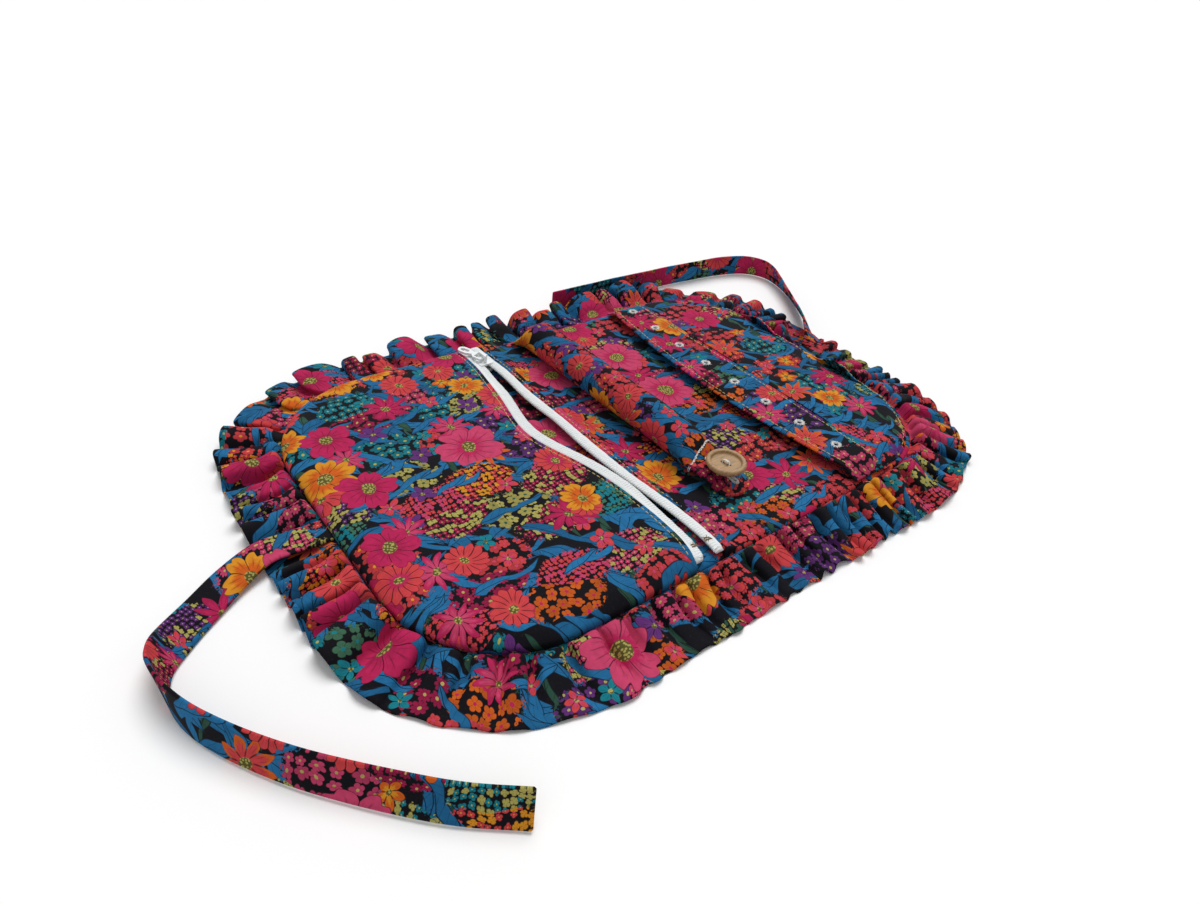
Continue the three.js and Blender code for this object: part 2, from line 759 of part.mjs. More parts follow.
function tabBody() {
  const radius = barEndHalfWidth - 0.4;
  const centre = tabAxis(tabLength - radius);
  const yaw = tabYaw * degree;
  const shape = new THREE.Shape();
  shape.moveTo(barEndHalfWidth - 0.5, 0);
  shape.lineTo(-barEndHalfWidth + 0.5, 0);
  shape.absarc(centre.x, centre.y, radius, 180 * degree + yaw, 360 * degree + yaw, false);
  shape.closePath();
  shape.holes.push(new THREE.Path(slotShape(0)));
  return plate(shape, -tabThickness / 2, tabThickness / 2, 12);
}

function buttonholeStitch() {
  const shape = new THREE.Shape(slotShape(whipStitch));
  shape.holes.push(new THREE.Path(slotShape(0)));
  const base = tabThickness / 2 + clear;
  return plate(shape, base, base + stitchThickness);
}

// Button and the thread that holds it

function button() {
  const inner = buttonRadius - buttonRim;
  const profile = [
    [0, 0], [buttonRadius * 0.86, 0], [buttonRadius, buttonThickness * 0.4], [buttonRadius, buttonThickness * 0.75],
    [buttonRadius - 0.7, buttonThickness], [inner + 0.4, buttonThickness], [inner - 0.8, buttonThickness - buttonDish],
    [0, buttonThickness - buttonDish - 0.2],
  ];
  const body = new THREE.LatheGeometry(profile.map(([r, z]) => new THREE.Vector2(r, z)), 28);
  body.rotateX(90 * degree);
  const holes = [-1, 1].map((side) => {
    const hole = new THREE.CylinderGeometry(buttonHoleRadius, buttonHoleRadius, buttonThickness * 3, 10);
    hole.rotateX(90 * degree);
    hole.translate((side * buttonHoleSpacing) / 2, 0, 0);
    return hole;
  });
  return cut(body, ...holes);
}

function buttonThread(shankLength) {
  const legs = [-1, 1].map((side) => {
    const x = (side * buttonHoleSpacing) / 2;
    return box([x - threadRadius, -threadRadius * 0.8, -0.8], [x + threadRadius, threadRadius * 0.8, buttonThickness]);
  });
  const seat = buttonThickness - buttonDish - 0.2 + clear;
  const reach = buttonHoleSpacing / 2 + threadRadius;
  const bar = box([-reach, -threadRadius * 0.9, seat], [reach, threadRadius * 0.9, buttonThickness]);
  const knot = box([-reach, -threadRadius, -0.9], [reach, threadRadius, -clear]);
  const shank = new THREE.CylinderGeometry(threadRadius, threadRadius, shankLength, 8);
  shank.rotateX(90 * degree);
  shank.translate(0, 0, -shankLength / 2 - 0.5);
  return join(...legs, bar, knot, shank);
}

// Slip pocket: one panel, sewn on three sides, open at the end of the pouch
const slipSeamRise = [[0.6, 0], [0.7, 0.25], [0.8, 0.48], [1.1, 0.68], [1.8, 0.83], [4, 0.96], [10, 1]];
const slipStripRise = [[0.1, 0], [0.12, 0.25], [0.15, 0.48], [0.2, 0.68], [0.3, 0.83], [1, 0.96], [3, 1]];

function slipPocket() {
  const part = { low: slipStartX, high: null };
  const skin = cut(
    dome(part, slipSeamRise, slipStripRise, pocketBase, slipRise, 0),
    dome(part, slipSeamRise, slipStripRise, pocketBase, slipRise, slipCloth),
  );
  const underside = pocketBase + slipRise - slipCloth;
  const hem = halfLength - slipHemInset;
  return cut(
    skin,
    box([hem - 12, -slipMouthHalf, 0], [halfLength + 5, slipMouthHalf, underside]),
    box([hem, -slipMouthHalf, 0], [halfLength + 5, slipMouthHalf, underside + slipCloth + 5]),
  );
}

// Earring strip: sewn along its right edge, free along the left
const stripRight = slipStartX - clear;
const stripEnd = halfDepth - 2.5;
const stripWidth = (y) => stripMiddleWidth - (stripMiddleWidth - stripEndWidth) * Math.abs(y / stripEnd) ** 2.2;
const stripFallLength = 9;
const stripFall = [[0, 0], [0.3, 0.35], [0.65, 0.8], [1, 1]];
const stripFallPlaces = stripFall.map(([share]) => share * stripFallLength);
const stripUnderside = (y) => pocketBase + 0.1 + (stripLift - 0.1) * along(stripFall, (stripEnd - Math.abs(y)) / stripFallLength);
const stripMiddleX = (y) => stripRight - stripWidth(y) / 2;
const eyeletPitch = (panelDepth - eyeletFarInset - eyeletNearInset) / (eyeletCount - 1);
const eyeletY = (n) => halfDepth - eyeletFarInset - n * eyeletPitch;

function earringStrip() {
  const ys = stripFallPlaces.map((fall) => -stripEnd + fall);
  const inner = stripEnd - stripFallLength;
  for (let i = 1; i < 12; i += 1) {
    ys.push(-inner + (2 * inner * i) / 12);
  }
  ys.push(...stripFallPlaces.toReversed().map((fall) => stripEnd - fall));
  const rows = ys.map((y) => {
    const z = stripUnderside(y);
    const ends = [stripRight - stripWidth(y), stripRight];
    return {
      top: ends.map((x) => new THREE.Vector3(x, y, z + stripCloth)),
      bottom: ends.map((x) => new THREE.Vector3(x, y, z)),
    };
  });
  const holes = Array.from({ length: eyeletCount }, (_, n) => {
    const hole = new THREE.CylinderGeometry(eyeletHole + eyeletWall + clear, eyeletHole + eyeletWall + clear, 20, 10);
    hole.rotateX(90 * degree);
    hole.translate(stripMiddleX(eyeletY(n)), eyeletY(n), stripUnderside(eyeletY(n)));
    return hole;
  });
  return cut(slab(rows), ...holes);
}

function eyelet() {
  const flange = stitchThickness;
  const half = stripCloth / 2 + clear;
  const wall = eyeletHole + eyeletWall;
  const profile = [
    [eyeletHole, -half - flange], [eyeletOuter - 0.3, -half - flange], [eyeletOuter - 0.3, -half], [wall, -half],
    [wall, half], [eyeletOuter, half], [eyeletOuter - 0.3, half + flange], [eyeletHole + 0.2, half + flange],
    [eyeletHole, half], [eyeletHole, -half - flange],
  ];
  const ring = new THREE.LatheGeometry(profile.map(([r, z]) => new THREE.Vector2(r, z)), 12);
  ring.rotateX(90 * degree);
  return faceOutward(bareOf(ring));
}

function bareOf(geometry) {
  geometry.deleteAttribute('normal');
  geometry.deleteAttribute('uv');
  return geometry;
}

// Ties

const tieSteps = 44;

function tie(route) {
  const curve = new THREE.CatmullRomCurve3(route.map(([x, y, lift]) => new THREE.Vector3(x, y, lift)));
  const halfWidth = tieWidth / 2;
  const halfThick = tieThickness / 2;
  const edge = halfThick * 0.6;
  const profile = [
    [-halfWidth, edge], [-halfWidth, -edge], [-halfWidth + edge, -halfThick], [halfWidth - edge, -halfThick],
    [halfWidth, -edge], [halfWidth, edge], [halfWidth - edge, halfThick], [-halfWidth + edge, halfThick],
  ];
  const leans = route.map((point, i) => [i / (route.length - 1), point[3]]);
  const sections = [];
  for (let i = 0; i <= tieSteps; i += 1) {
    const share = i / tieSteps;
    const centre = curve.getPoint(share);
    const ahead = curve.getTangent(share);
    const lean = along(leans, share) * degree;
    const side = new THREE.Vector3(ahead.y, -ahead.x, 0).normalize();
    const up = new THREE.Vector3().crossVectors(side, ahead).normalize();
    const across = side.clone().multiplyScalar(Math.cos(lean)).addScaledVector(up, Math.sin(lean));
    const through = new THREE.Vector3().crossVectors(ahead, across).normalize();
    centre.z += halfWidth * Math.abs(Math.sin(lean)) + halfThick * Math.abs(Math.cos(lean));
    sections.push(profile.map(([w, t]) => centre.clone().addScaledVector(across, w).addScaledVector(through, t)));
  }
  return loft(sections);
}

// The pouch

function piece(name, geometry, look) {
  const mesh = new THREE.Mesh(geometry, look);
  mesh.name = name;
  return mesh;
}

const pouch = new THREE.Group();

const leftHalf = new THREE.Group();
leftHalf.add(
  piece('cover_left', cover(leftPart), printCloth()),
  piece('wadding_left', wadding(leftPart), material(0xf1eee6, 0.95)),
  piece('lining_left', lining(leftPart), printCloth()),
  piece('ruffle_left', ruffle(endRoute(leftPart), leftTieRoute), printCloth()),
  piece('zip_pocket_front', zipPocketFront(), printCloth()),
  piece('zip_pocket_facing', zipPocketFacing(), printCloth()),
  piece('zip_tape_left', leftTape(), material(0xe8ebe9, 0.8)),
  piece('zip_tape_right', rightTape(), material(0xe8ebe9, 0.8)),
  piece('zip_coil_left', zipCoil(leftCoilX, leftZipHeight), material(0xf2f5f3, 0.45)),
  piece('zip_coil_right', zipCoil(rightCoilX, rightZipHeight), material(0xf2f5f3, 0.45)),
  piece('bar_tack_left', barTack(leftCoilX, leftZipHeight), material(0x8a6a3a, 0.7)),
  piece('bar_tack_right', barTack(rightCoilX, rightZipHeight), material(0x8a6a3a, 0.7)),
  piece('tie_left', tie(leftTieRoute), printCloth()),
);

const zipTurn = Math.atan2(zipNearX - zipFarX, sliderRestY - coilEnd);
const sliderGroup = new THREE.Group();
sliderGroup.position.set(zipLine(sliderRestY), sliderRestY, rightZipHeight(sliderRestY));
sliderGroup.rotation.z = zipTurn;
const pullMesh = piece('zip_pull', pull(), material(0xf4f5f2, 0.25, 0.1));
pullMesh.position.z = pullAxisHeight;
pullMesh.rotation.z = pullYaw * degree;
sliderGroup.add(piece('zip_slider', slider(), material(0xf4f5f2, 0.25, 0.1)), pullMesh);
leftHalf.add(sliderGroup);

const ringBar = new THREE.Group();
ringBar.position.set(ringBarFarX, halfDepth - ringBarFarInset, pocketBase);
ringBar.rotation.z = ringBarSlant * degree;
const tab = new THREE.Group();
tab.position.set(0, -ringBarLength - clear, barEndHeight);
tab.rotation.x = tabTilt * degree;
tab.add(
  piece('ring_bar_tab', tabBody(), printCloth()),
  piece('buttonhole_stitch', buttonholeStitch(), whiteThread()),
);
ringBar.add(
  piece('ring_bar_cover', ringBarCover(), printCloth()),
  piece('ring_bar_filling', ringBarFilling(), material(0xf1eee6, 0.95)),
  piece('ring_bar_end_stitch', endStitch(), whiteThread()),
  tab,
);

const buttonPlace = tabAxis(buttonFromBar);
const tabDrop = Math.tan(tabTilt * degree);
const buttonLow = barEndHeight + tabThickness / 2 + stitchThickness + 2 * clear - 0.4;
const buttonPoint = new THREE.Vector3(buttonPlace.x, buttonPlace.y - ringBarLength - clear, buttonLow);
buttonPoint.applyEuler(ringBar.rotation).add(ringBar.position);
const buttonGroup = new THREE.Group();
buttonGroup.position.copy(buttonPoint);
buttonGroup.rotation.z = (90 + tabYaw + ringBarSlant) * degree;
const shankLength = buttonPoint.z - pocketBase - 0.5;
buttonGroup.add(
  piece('button', button(), material(0xc39a6b, 0.6)),
  piece('button_thread', buttonThread(shankLength), whiteThread()),
);

const spine = new THREE.Group();
spine.add(
  piece('cover_spine', cover(spinePart), printCloth()),
  piece('wadding_spine', wadding(spinePart), material(0xf1eee6, 0.95)),
  piece('lining_spine', lining(spinePart), printCloth()),
  piece('ruffle_spine_near', ruffle(spineRoute(spinePart, -1), rightTieRoute), printCloth()),
  piece('ruffle_spine_far', ruffle(spineRoute(spinePart, 1), rightTieRoute), printCloth()),
  ringBar,
  buttonGroup,
);

const rightHalf = new THREE.Group();
rightHalf.add(
  piece('cover_right', cover(rightPart), printCloth()),
  piece('wadding_right', wadding(rightPart), material(0xf1eee6, 0.95)),
  piece('lining_right', lining(rightPart), printCloth()),
  piece('ruffle_right', ruffle(endRoute(rightPart), rightTieRoute), printCloth()),
  piece('slip_pocket', slipPocket(), printCloth()),
  piece('earring_strip', earringStrip(), printCloth()),
  piece('tie_right', tie(rightTieRoute), printCloth()),
);
for (let n = 0; n < eyeletCount; n += 1) {
  const ring = piece(`eyelet_${n + 1}`, eyelet(), whiteThread());
  const y = eyeletY(n);
  ring.position.set(stripMiddleX(y), y, stripUnderside(y) + stripCloth / 2);
  rightHalf.add(ring);
}

pouch.add(leftHalf, spine, rightHalf);

export default pouch;
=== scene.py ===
"""Padded jewelry pouch lying open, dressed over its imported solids."""

import bmesh
import bpy
import math
import numpy as np
from bpy.props import FloatProperty, FloatVectorProperty, IntProperty, PointerProperty
from mathutils import Matrix, Vector


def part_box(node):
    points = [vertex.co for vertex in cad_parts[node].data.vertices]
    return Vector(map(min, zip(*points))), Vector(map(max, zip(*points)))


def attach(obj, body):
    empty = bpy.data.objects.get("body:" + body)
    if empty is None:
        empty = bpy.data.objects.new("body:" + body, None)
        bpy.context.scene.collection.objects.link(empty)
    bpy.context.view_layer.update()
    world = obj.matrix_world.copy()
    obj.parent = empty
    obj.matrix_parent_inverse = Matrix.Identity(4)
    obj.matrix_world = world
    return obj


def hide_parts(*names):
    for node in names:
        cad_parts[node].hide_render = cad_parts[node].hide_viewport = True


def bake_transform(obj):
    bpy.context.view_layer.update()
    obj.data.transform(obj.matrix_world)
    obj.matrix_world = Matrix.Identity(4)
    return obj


bl_info = {
    "name": "Jewelry pouch",
    "version": (1, 0, 0),
    "blender": (4, 5, 0),
    "location": "3D View > Sidebar > Pouch",
    "description": "Builds the cloth, zip, button and stitching of an opened jewelry pouch",
    "category": "Add Mesh",
}

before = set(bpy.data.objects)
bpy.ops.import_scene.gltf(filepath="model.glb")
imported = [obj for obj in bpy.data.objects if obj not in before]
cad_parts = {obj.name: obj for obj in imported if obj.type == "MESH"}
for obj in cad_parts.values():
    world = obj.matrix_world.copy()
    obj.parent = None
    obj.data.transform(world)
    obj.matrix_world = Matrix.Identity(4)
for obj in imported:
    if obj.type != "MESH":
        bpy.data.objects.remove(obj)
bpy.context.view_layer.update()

# Shared places, in millimetres
HALF_X, HALF_Y, CORNER = 160.0, 105.5, 58.0
SPINE_MIDDLE = 8.5
FOLD_LEFT = -13.5
LINING_TOP = 5.9
POCKET_BASE, POCKET_RISE = 6.2, 7.4
MOUTH_HALF, TAPE_SHOWN, HEM_STITCH = 5.6, 4.6, 1.8
ZIP_FAR, ZIP_NEAR = (-33.5, 85.0), (-28.5, -102.5)
STRIP_RIGHT, STRIP_END = 96.7, 103.0
BAR_FAR = (6.0, 97.0, 6.2)
BAR_LENGTH, BAR_SLANT, TAB_YAW = 152.5, math.radians(1.97), math.radians(16)
TIE_WIDTH = 14.5

# Both strands of the open zip: share of the half depth, and offset from the zip's line
LEFT_STRAND = (
    [-1.02, -0.87, -0.68, -0.47, -0.3, -0.16, -0.04, 0.06, 0.13, 0.22, 0.32, 0.45, 0.59, 0.72, 0.8, 0.85],
    [-8, -3.6, -2.4, -3.2, -5.8, -9.8, -14, -16.3, -16.6, -15.2, -12.4, -9, -6, -3.4, -2.6, -2.4])
RIGHT_STRAND = (
    [-1.02, -0.9, -0.8, -0.66, -0.52, -0.38, -0.24, -0.1, 0.04, 0.14, 0.24, 0.34, 0.46, 0.6, 0.7, 0.8, 0.85],
    [1.8, 3.8, 4.4, 4.0, 2.4, 0.8, 0.1, 0.0, 0.7, 1.3, 0.5, 0.1, 0.9, 2.9, 3.4, 2.6, 2.4])

# Routes of the ties: x, y, height and lean in degrees
LEFT_TIE = [
    (-160.3, 3, 4.3, 0), (-168, 3, 4.3, 0), (-178, 3, 4.7, 0), (-190, 2, 4.8, 4), (-204, -4, 2.6, 10),
    (-219, -14, 0.8, 16), (-231, -24, 0.3, 30), (-239, -35, 0.2, 62), (-240.5, -50, 0.4, 88),
    (-235, -68, 0.4, 104), (-224, -87, 0.4, 112), (-208, -108, 0.4, 118), (-191, -127, 0.4, 122),
    (-175, -143, 0.4, 124), (-159, -156, 0.4, 124),
]
RIGHT_TIE = [
    (160.3, 3, 4.3, 180), (166, 3, 4.3, 174), (171, 7.6, 4.5, 156), (175.5, 14.5, 4.6, 134),
    (181.5, 22, 4.3, 124), (189, 31, 3.6, 122), (197.5, 41, 2.4, 124), (206, 52, 1.2, 126),
    (214.5, 65, 0.5, 124), (222, 79, 0.4, 117), (227.5, 93, 0.4, 106), (228.5, 106, 0.4, 97),
    (220, 118, 0.4, 91), (200, 125, 0.4, 88),
    (172, 128.5, 0.4, 90), (146, 131, 0.4, 90), (118, 133, 0.4, 90), (86, 134.5, 0.4, 90), (51, 135, 0.4, 90),
]

# Half of the section across one fold of the ruffle: share of the width and of the height
FOLD_SECTION = [(0, 0), (0.07, 0.02), (0.11, 0.2), (0.115, 0.5), (0.125, 0.8), (0.2, 0.96), (0.34, 1), (0.5, 1)]

# Section of the ring bar along its length: half width, half height and middle height
BAR_PLACES = [-7, -3, 3, 6, 12, 128, 140, 147, 150, 152.5, 155]
BAR_HALF_WIDTH = [8.6, 9.6, 9.6, 9.7, 10, 10, 10.4, 11.2, 11.8, 12.2, 12.2]
BAR_HALF_HEIGHT = [0.5, 2.2, 5.4, 8, 10, 10, 8.9, 6.4, 4.2, 2.1, 1.6]
BAR_MIDDLE = [-2.2, 1.0, 5.2, 8, 10, 10, 8.9, 7.4, 7.3, 7.3, 7.1]

# Section of the turned button: radius and height
BUTTON_PROFILE = [
    (0, 0.35), (5.5, 0.25), (8.3, 0.3), (9.4, 0.9), (10.1, 1.9), (10.2, 2.7), (10.0, 3.5), (9.5, 3.95),
    (8.9, 4.0), (8.3, 3.9), (7.9, 3.5), (7.75, 2.8), (7.5, 2.35), (6.8, 2.15), (4.0, 2.0), (2.0, 1.95), (0, 1.95)]


# Settings


def colour(name, description, default):
    return FloatVectorProperty(name=name, description=description, default=default, subtype="COLOR", size=3,
                               min=0, max=1)


def length(name, description, default, low, high):
    return FloatProperty(name=name, description=description, default=default, min=low, max=high, unit="LENGTH")


class PouchPrintSettings(bpy.types.PropertyGroup):
    """Colours of the printed cotton"""

    ground: colour("Ground", "Cloth between the flowers", (0.005, 0.0045, 0.007))
    leaf: colour("Leaf", "Large leaves", (0.02, 0.165, 0.37))
    magenta: colour("Magenta", "Large blooms", (0.47, 0.018, 0.092))
    coral: colour("Coral", "Coral blooms", (0.6, 0.055, 0.062))
    orange: colour("Orange", "Orange blooms", (0.62, 0.115, 0.014))
    amber: colour("Amber", "Edges of the orange blooms", (0.68, 0.27, 0.02))
    teal: colour("Teal", "Small teal flowers", (0.01, 0.2, 0.25))
    purple: colour("Purple", "Small purple flowers", (0.12, 0.03, 0.17))
    olive: colour("Olive", "Flower centres and seed heads", (0.42, 0.37, 0.1))


class PouchClothSettings(bpy.types.PropertyGroup):
    """Sizes of the cloth pieces"""

    ruffle_reach: length("Ruffle reach", "Width of the ruffle beyond the seam", 0.031, 0.01, 0.06)
    ruffle_height: length("Ruffle fold height", "Height of the ruffle's folds", 0.0085, 0.001, 0.02)
    fold_pitch: length("Fold pitch", "Distance between the ruffle's folds", 0.0115, 0.006, 0.03)
    cloth: length("Cloth thickness", "Thickness of one layer of cotton", 0.0005, 0.0002, 0.002)
    wrinkle: length("Wrinkle depth", "Depth of the soft wrinkles in the panels", 0.0007, 0, 0.003)


class PouchHardwareSettings(bpy.types.PropertyGroup):
    """Zip, button and thread"""

    enamel: colour("Zip white", "Coil, slider and pull", (0.8, 0.83, 0.83))
    wood: colour("Button wood", "Light wood of the button", (0.34, 0.205, 0.092))
    gold_thread: colour("Topstitch thread", "Gold sewing thread", (0.55, 0.4, 0.14))
    coil_pitch: length("Coil pitch", "Distance between the zip's coils", 0.0014, 0.0008, 0.003)
    eyelets: IntProperty(name="Eyelets", description="Number of embroidered eyelets", default=8, min=1, max=12)


class PouchStageSettings(bpy.types.PropertyGroup):
    """Floor, light and camera"""

    floor: colour("Floor", "Colour of the table", (0.97, 0.97, 0.97))
    key: FloatProperty(name="Key light", description="Strength of the main soft light", default=2.15, min=0)
    ambient: FloatProperty(name="Ambient", description="Strength of the even surrounding light", default=0.36,
                           min=0)


def in_mm(key):
    """One of the cloth sizes, in millimetres."""
    return getattr(bpy.context.scene.pouch_cloth, key) * 1000


# Number helpers


def smooth(t):
    t = np.clip(t, 0, 1)
    return t * t * (3 - 2 * t)


def bell(distance, width):
    return np.exp(-(distance / width) ** 2)


def noise2(x, y, seed):
    """A smooth field in about -1 to 1; a step of 1 in x or y is one swell."""
    total, weight = 0, 0
    for k in range(8):
        f = 1.9 ** (k // 4)
        a = 1.7 * seed + 2.399 * k
        total = total + np.sin(2 * f * (x * math.cos(a) + y * math.sin(a)) + 3.1 * a + seed) / f
        weight += 0.62 / f
    return total / weight


def past_corner(x, y):
    """How far a place lies beyond the middle of its corner's arc, in x and in y."""
    return np.abs(x) - (HALF_X - CORNER), np.abs(y) - (HALF_Y - CORNER)


def seam_inset(x, y):
    """Distance inside the seam."""
    dx, dy = past_corner(x, y)
    round_end = CORNER - np.hypot(np.maximum(dx, 0), np.maximum(dy, 0))
    straight = np.minimum(HALF_X - np.abs(x), HALF_Y - np.abs(y))
    return np.where((dx > 0) & (dy > 0), round_end, straight)


def end_x(y, inset=0.0):
    """How far the panel reaches from its middle at that y."""
    dy = np.clip(np.abs(y) - (HALF_Y - CORNER), 0, CORNER - inset)
    return HALF_X - CORNER + np.sqrt(np.maximum((CORNER - inset) ** 2 - dy ** 2, 0))


def slices(low, high, count):
    """Places that crowd towards both ends."""
    return low + (high - low) * (1 - np.cos(np.linspace(0, math.pi, count))) / 2


def crowded(count):
    """Shares of a way that crowd towards its start."""
    return 1 - np.cos(np.linspace(0, math.pi / 2, count))


def between(start, stop, shares):
    """Places from start to stop in each slice."""
    return start[:, None] + (stop - start)[:, None] * shares[None]


def along_slices(ys, x):
    return np.broadcast_to(ys[:, None], x.shape)


def run_of(points):
    """Way along a line of points, from its start."""
    return np.concatenate([[0], np.cumsum(np.linalg.norm(np.diff(points, axis=0), axis=1))])


def resample(points, step):
    points = np.asarray(points, float)
    run = run_of(points)
    count = max(2, int(round(run[-1] / step)) + 1)
    at = np.linspace(0, run[-1], count)
    return np.stack([np.interp(at, run, points[:, i]) for i in range(points.shape[1])], 1)


def spline(points, per_span=8):
    """A smooth line through points of any dimension."""
    p = np.asarray(points, float)
    p = np.vstack([2 * p[0] - p[1], p, 2 * p[-1] - p[-2]])
    out = []
    for a, b, c, d in zip(p, p[1:], p[2:], p[3:]):
        for t in np.arange(per_span) / per_span:
            out.append(0.5 * (2 * b + (c - a) * t + (2 * a - 5 * b + 4 * c - d) * t ** 2
                              + (3 * b - a - 3 * c + d) * t ** 3))
    out.append(p[-2])
    return np.array(out)


def unit(vectors):
    return vectors / np.maximum(np.linalg.norm(vectors, axis=-1, keepdims=True), 1e-9)


def pad_top(inset):
    """Height of the lining over its puffed edge."""
    share = np.clip(inset / 3.6, 0, 1)
    return LINING_TOP - 0.1 - 3.2 * (1 - np.sqrt(np.maximum(1 - (1 - share) ** 2, 0)))


def bulged(x, y, z, low, high, amount):
    """Pushes the points of a puffed edge outwards over the seam."""
    dx, dy = past_corner(x, y)
    ox = np.where(dx > 0, np.where(dy > 0, dx, 1.0), 0.0) * np.sign(x)
    oy = np.where(dy > 0, np.where(dx > 0, dy, 1.0), 0.0) * np.sign(y)
    away = np.maximum(np.hypot(ox, oy), 1e-9)
    near_seam = smooth((5 - seam_inset(x, y)) / 4)
    push = amount * np.sin(math.pi * np.clip((z - low) / (high - low), 0, 1)) * near_seam
    return x + ox / away * push, y + oy / away * push


# Zip line and pocket heights


def zip_line(y):
    return ZIP_FAR[0] + (ZIP_FAR[1] - y) / (ZIP_FAR[1] - ZIP_NEAR[1]) * (ZIP_NEAR[0] - ZIP_FAR[0])


def soft_interp(x, xs, ys, spread=0.05):
    """np.interp with its corners rounded."""
    return sum(np.interp(x + d * spread, xs, ys) * w for d, w in ((-1, 0.25), (0, 0.5), (1, 0.25)))


def coil_x(y, side):
    """The middle of the left or right strand of coils."""
    return zip_line(y) + soft_interp(y / HALF_Y, *(LEFT_STRAND if side < 0 else RIGHT_STRAND))


def mouth_x(y, side):
    """The left or right edge of the pocket's mouth."""
    farther = np.minimum if side < 0 else np.maximum
    return farther(zip_line(y) + side * MOUTH_HALF, coil_x(y, side) + side * TAPE_SHOWN)


def pocket_share(x, y):
    """Rise of the zip pocket as a share of its full rise."""
    seam = np.interp(seam_inset(x, y), [0, 0.4, 0.9, 1.8, 3.2, 6.5, 15, 28],
                     [0, 0.12, 0.27, 0.44, 0.62, 0.82, 0.96, 1])
    fold = np.interp(FOLD_LEFT - x, [-1, 0.1, 2.5, 7, 13, 20, 30, 38], [0, 0.02, 0.2, 0.44, 0.66, 0.84, 0.96, 1])
    return (np.maximum(seam, 0.01) ** -8 + np.maximum(fold, 0.01) ** -8) ** (-1 / 8)


def pocket_top(x, y):
    inset = seam_inset(x, y)
    pull = np.sin(np.arctan2(y, x + 90) * 26 + 2 * noise2(x / 40, y / 40, 3)) * np.exp(-inset / 9) * 0.35
    drape = 0.7 * noise2(x / 52, y / 44, 7) * smooth(inset / 25)
    drape = drape + 0.18 * noise2(x / 21, y / 30, 11) * smooth(inset / 12)
    near = smooth((FOLD_LEFT - x) / 25)
    drop = 3.2 * (1 - np.clip((inset - 0.1) / 0.8, 0, 1)) ** 1.5
    rise = POCKET_RISE * pocket_share(x, y)
    return POCKET_BASE + rise + pull * smooth(inset / 3) + (drape - 0.5) * near - drop


def tape_height(x, y):
    return pocket_top(x, y) - 1.3


def zip_height(y, side):
    """Height of a strand; the left one lies as low as the right one where they come together."""
    low = tape_height(mouth_x(y, 1), y)
    parted = smooth((70 - y) / 30) * smooth((y + 75) / 30) if side < 0 else 0
    return low + (tape_height(mouth_x(y, -1), y) - low) * parted


# Node helpers


class Flow:
    """A number or vector that runs through a node tree; arithmetic on it makes the nodes."""

    def __init__(self, graph, socket):
        self.graph, self.socket = graph, socket

    def math(self, operation, *others):
        return self.graph.math(operation, self, *others)

    def __add__(self, other):
        return self.math("ADD", other)

    def __sub__(self, other):
        return self.math("SUBTRACT", other)

    def __rsub__(self, other):
        return self.graph.math("SUBTRACT", other, self)

    def __mul__(self, other):
        return self.math("MULTIPLY", other)

    def __truediv__(self, other):
        return self.math("DIVIDE", other)

    def __rtruediv__(self, other):
        return self.graph.math("DIVIDE", other, self)

    def __abs__(self):
        return self.math("ABSOLUTE")

    __radd__, __rmul__ = __add__, __mul__

    def step(self, low, high, to_low=0.0, to_high=1.0):
        return self.graph.node("MapRange", {"Value": self, "From Min": low, "From Max": high, "To Min": to_low,
                                            "To Max": to_high}, interpolation_type="SMOOTHSTEP")[0]


class Outputs:
    """The outputs of a node, by name or by number."""

    def __init__(self, graph, node):
        self.graph, self.node = graph, node

    def __getitem__(self, key):
        return Flow(self.graph, self.node.outputs[key])


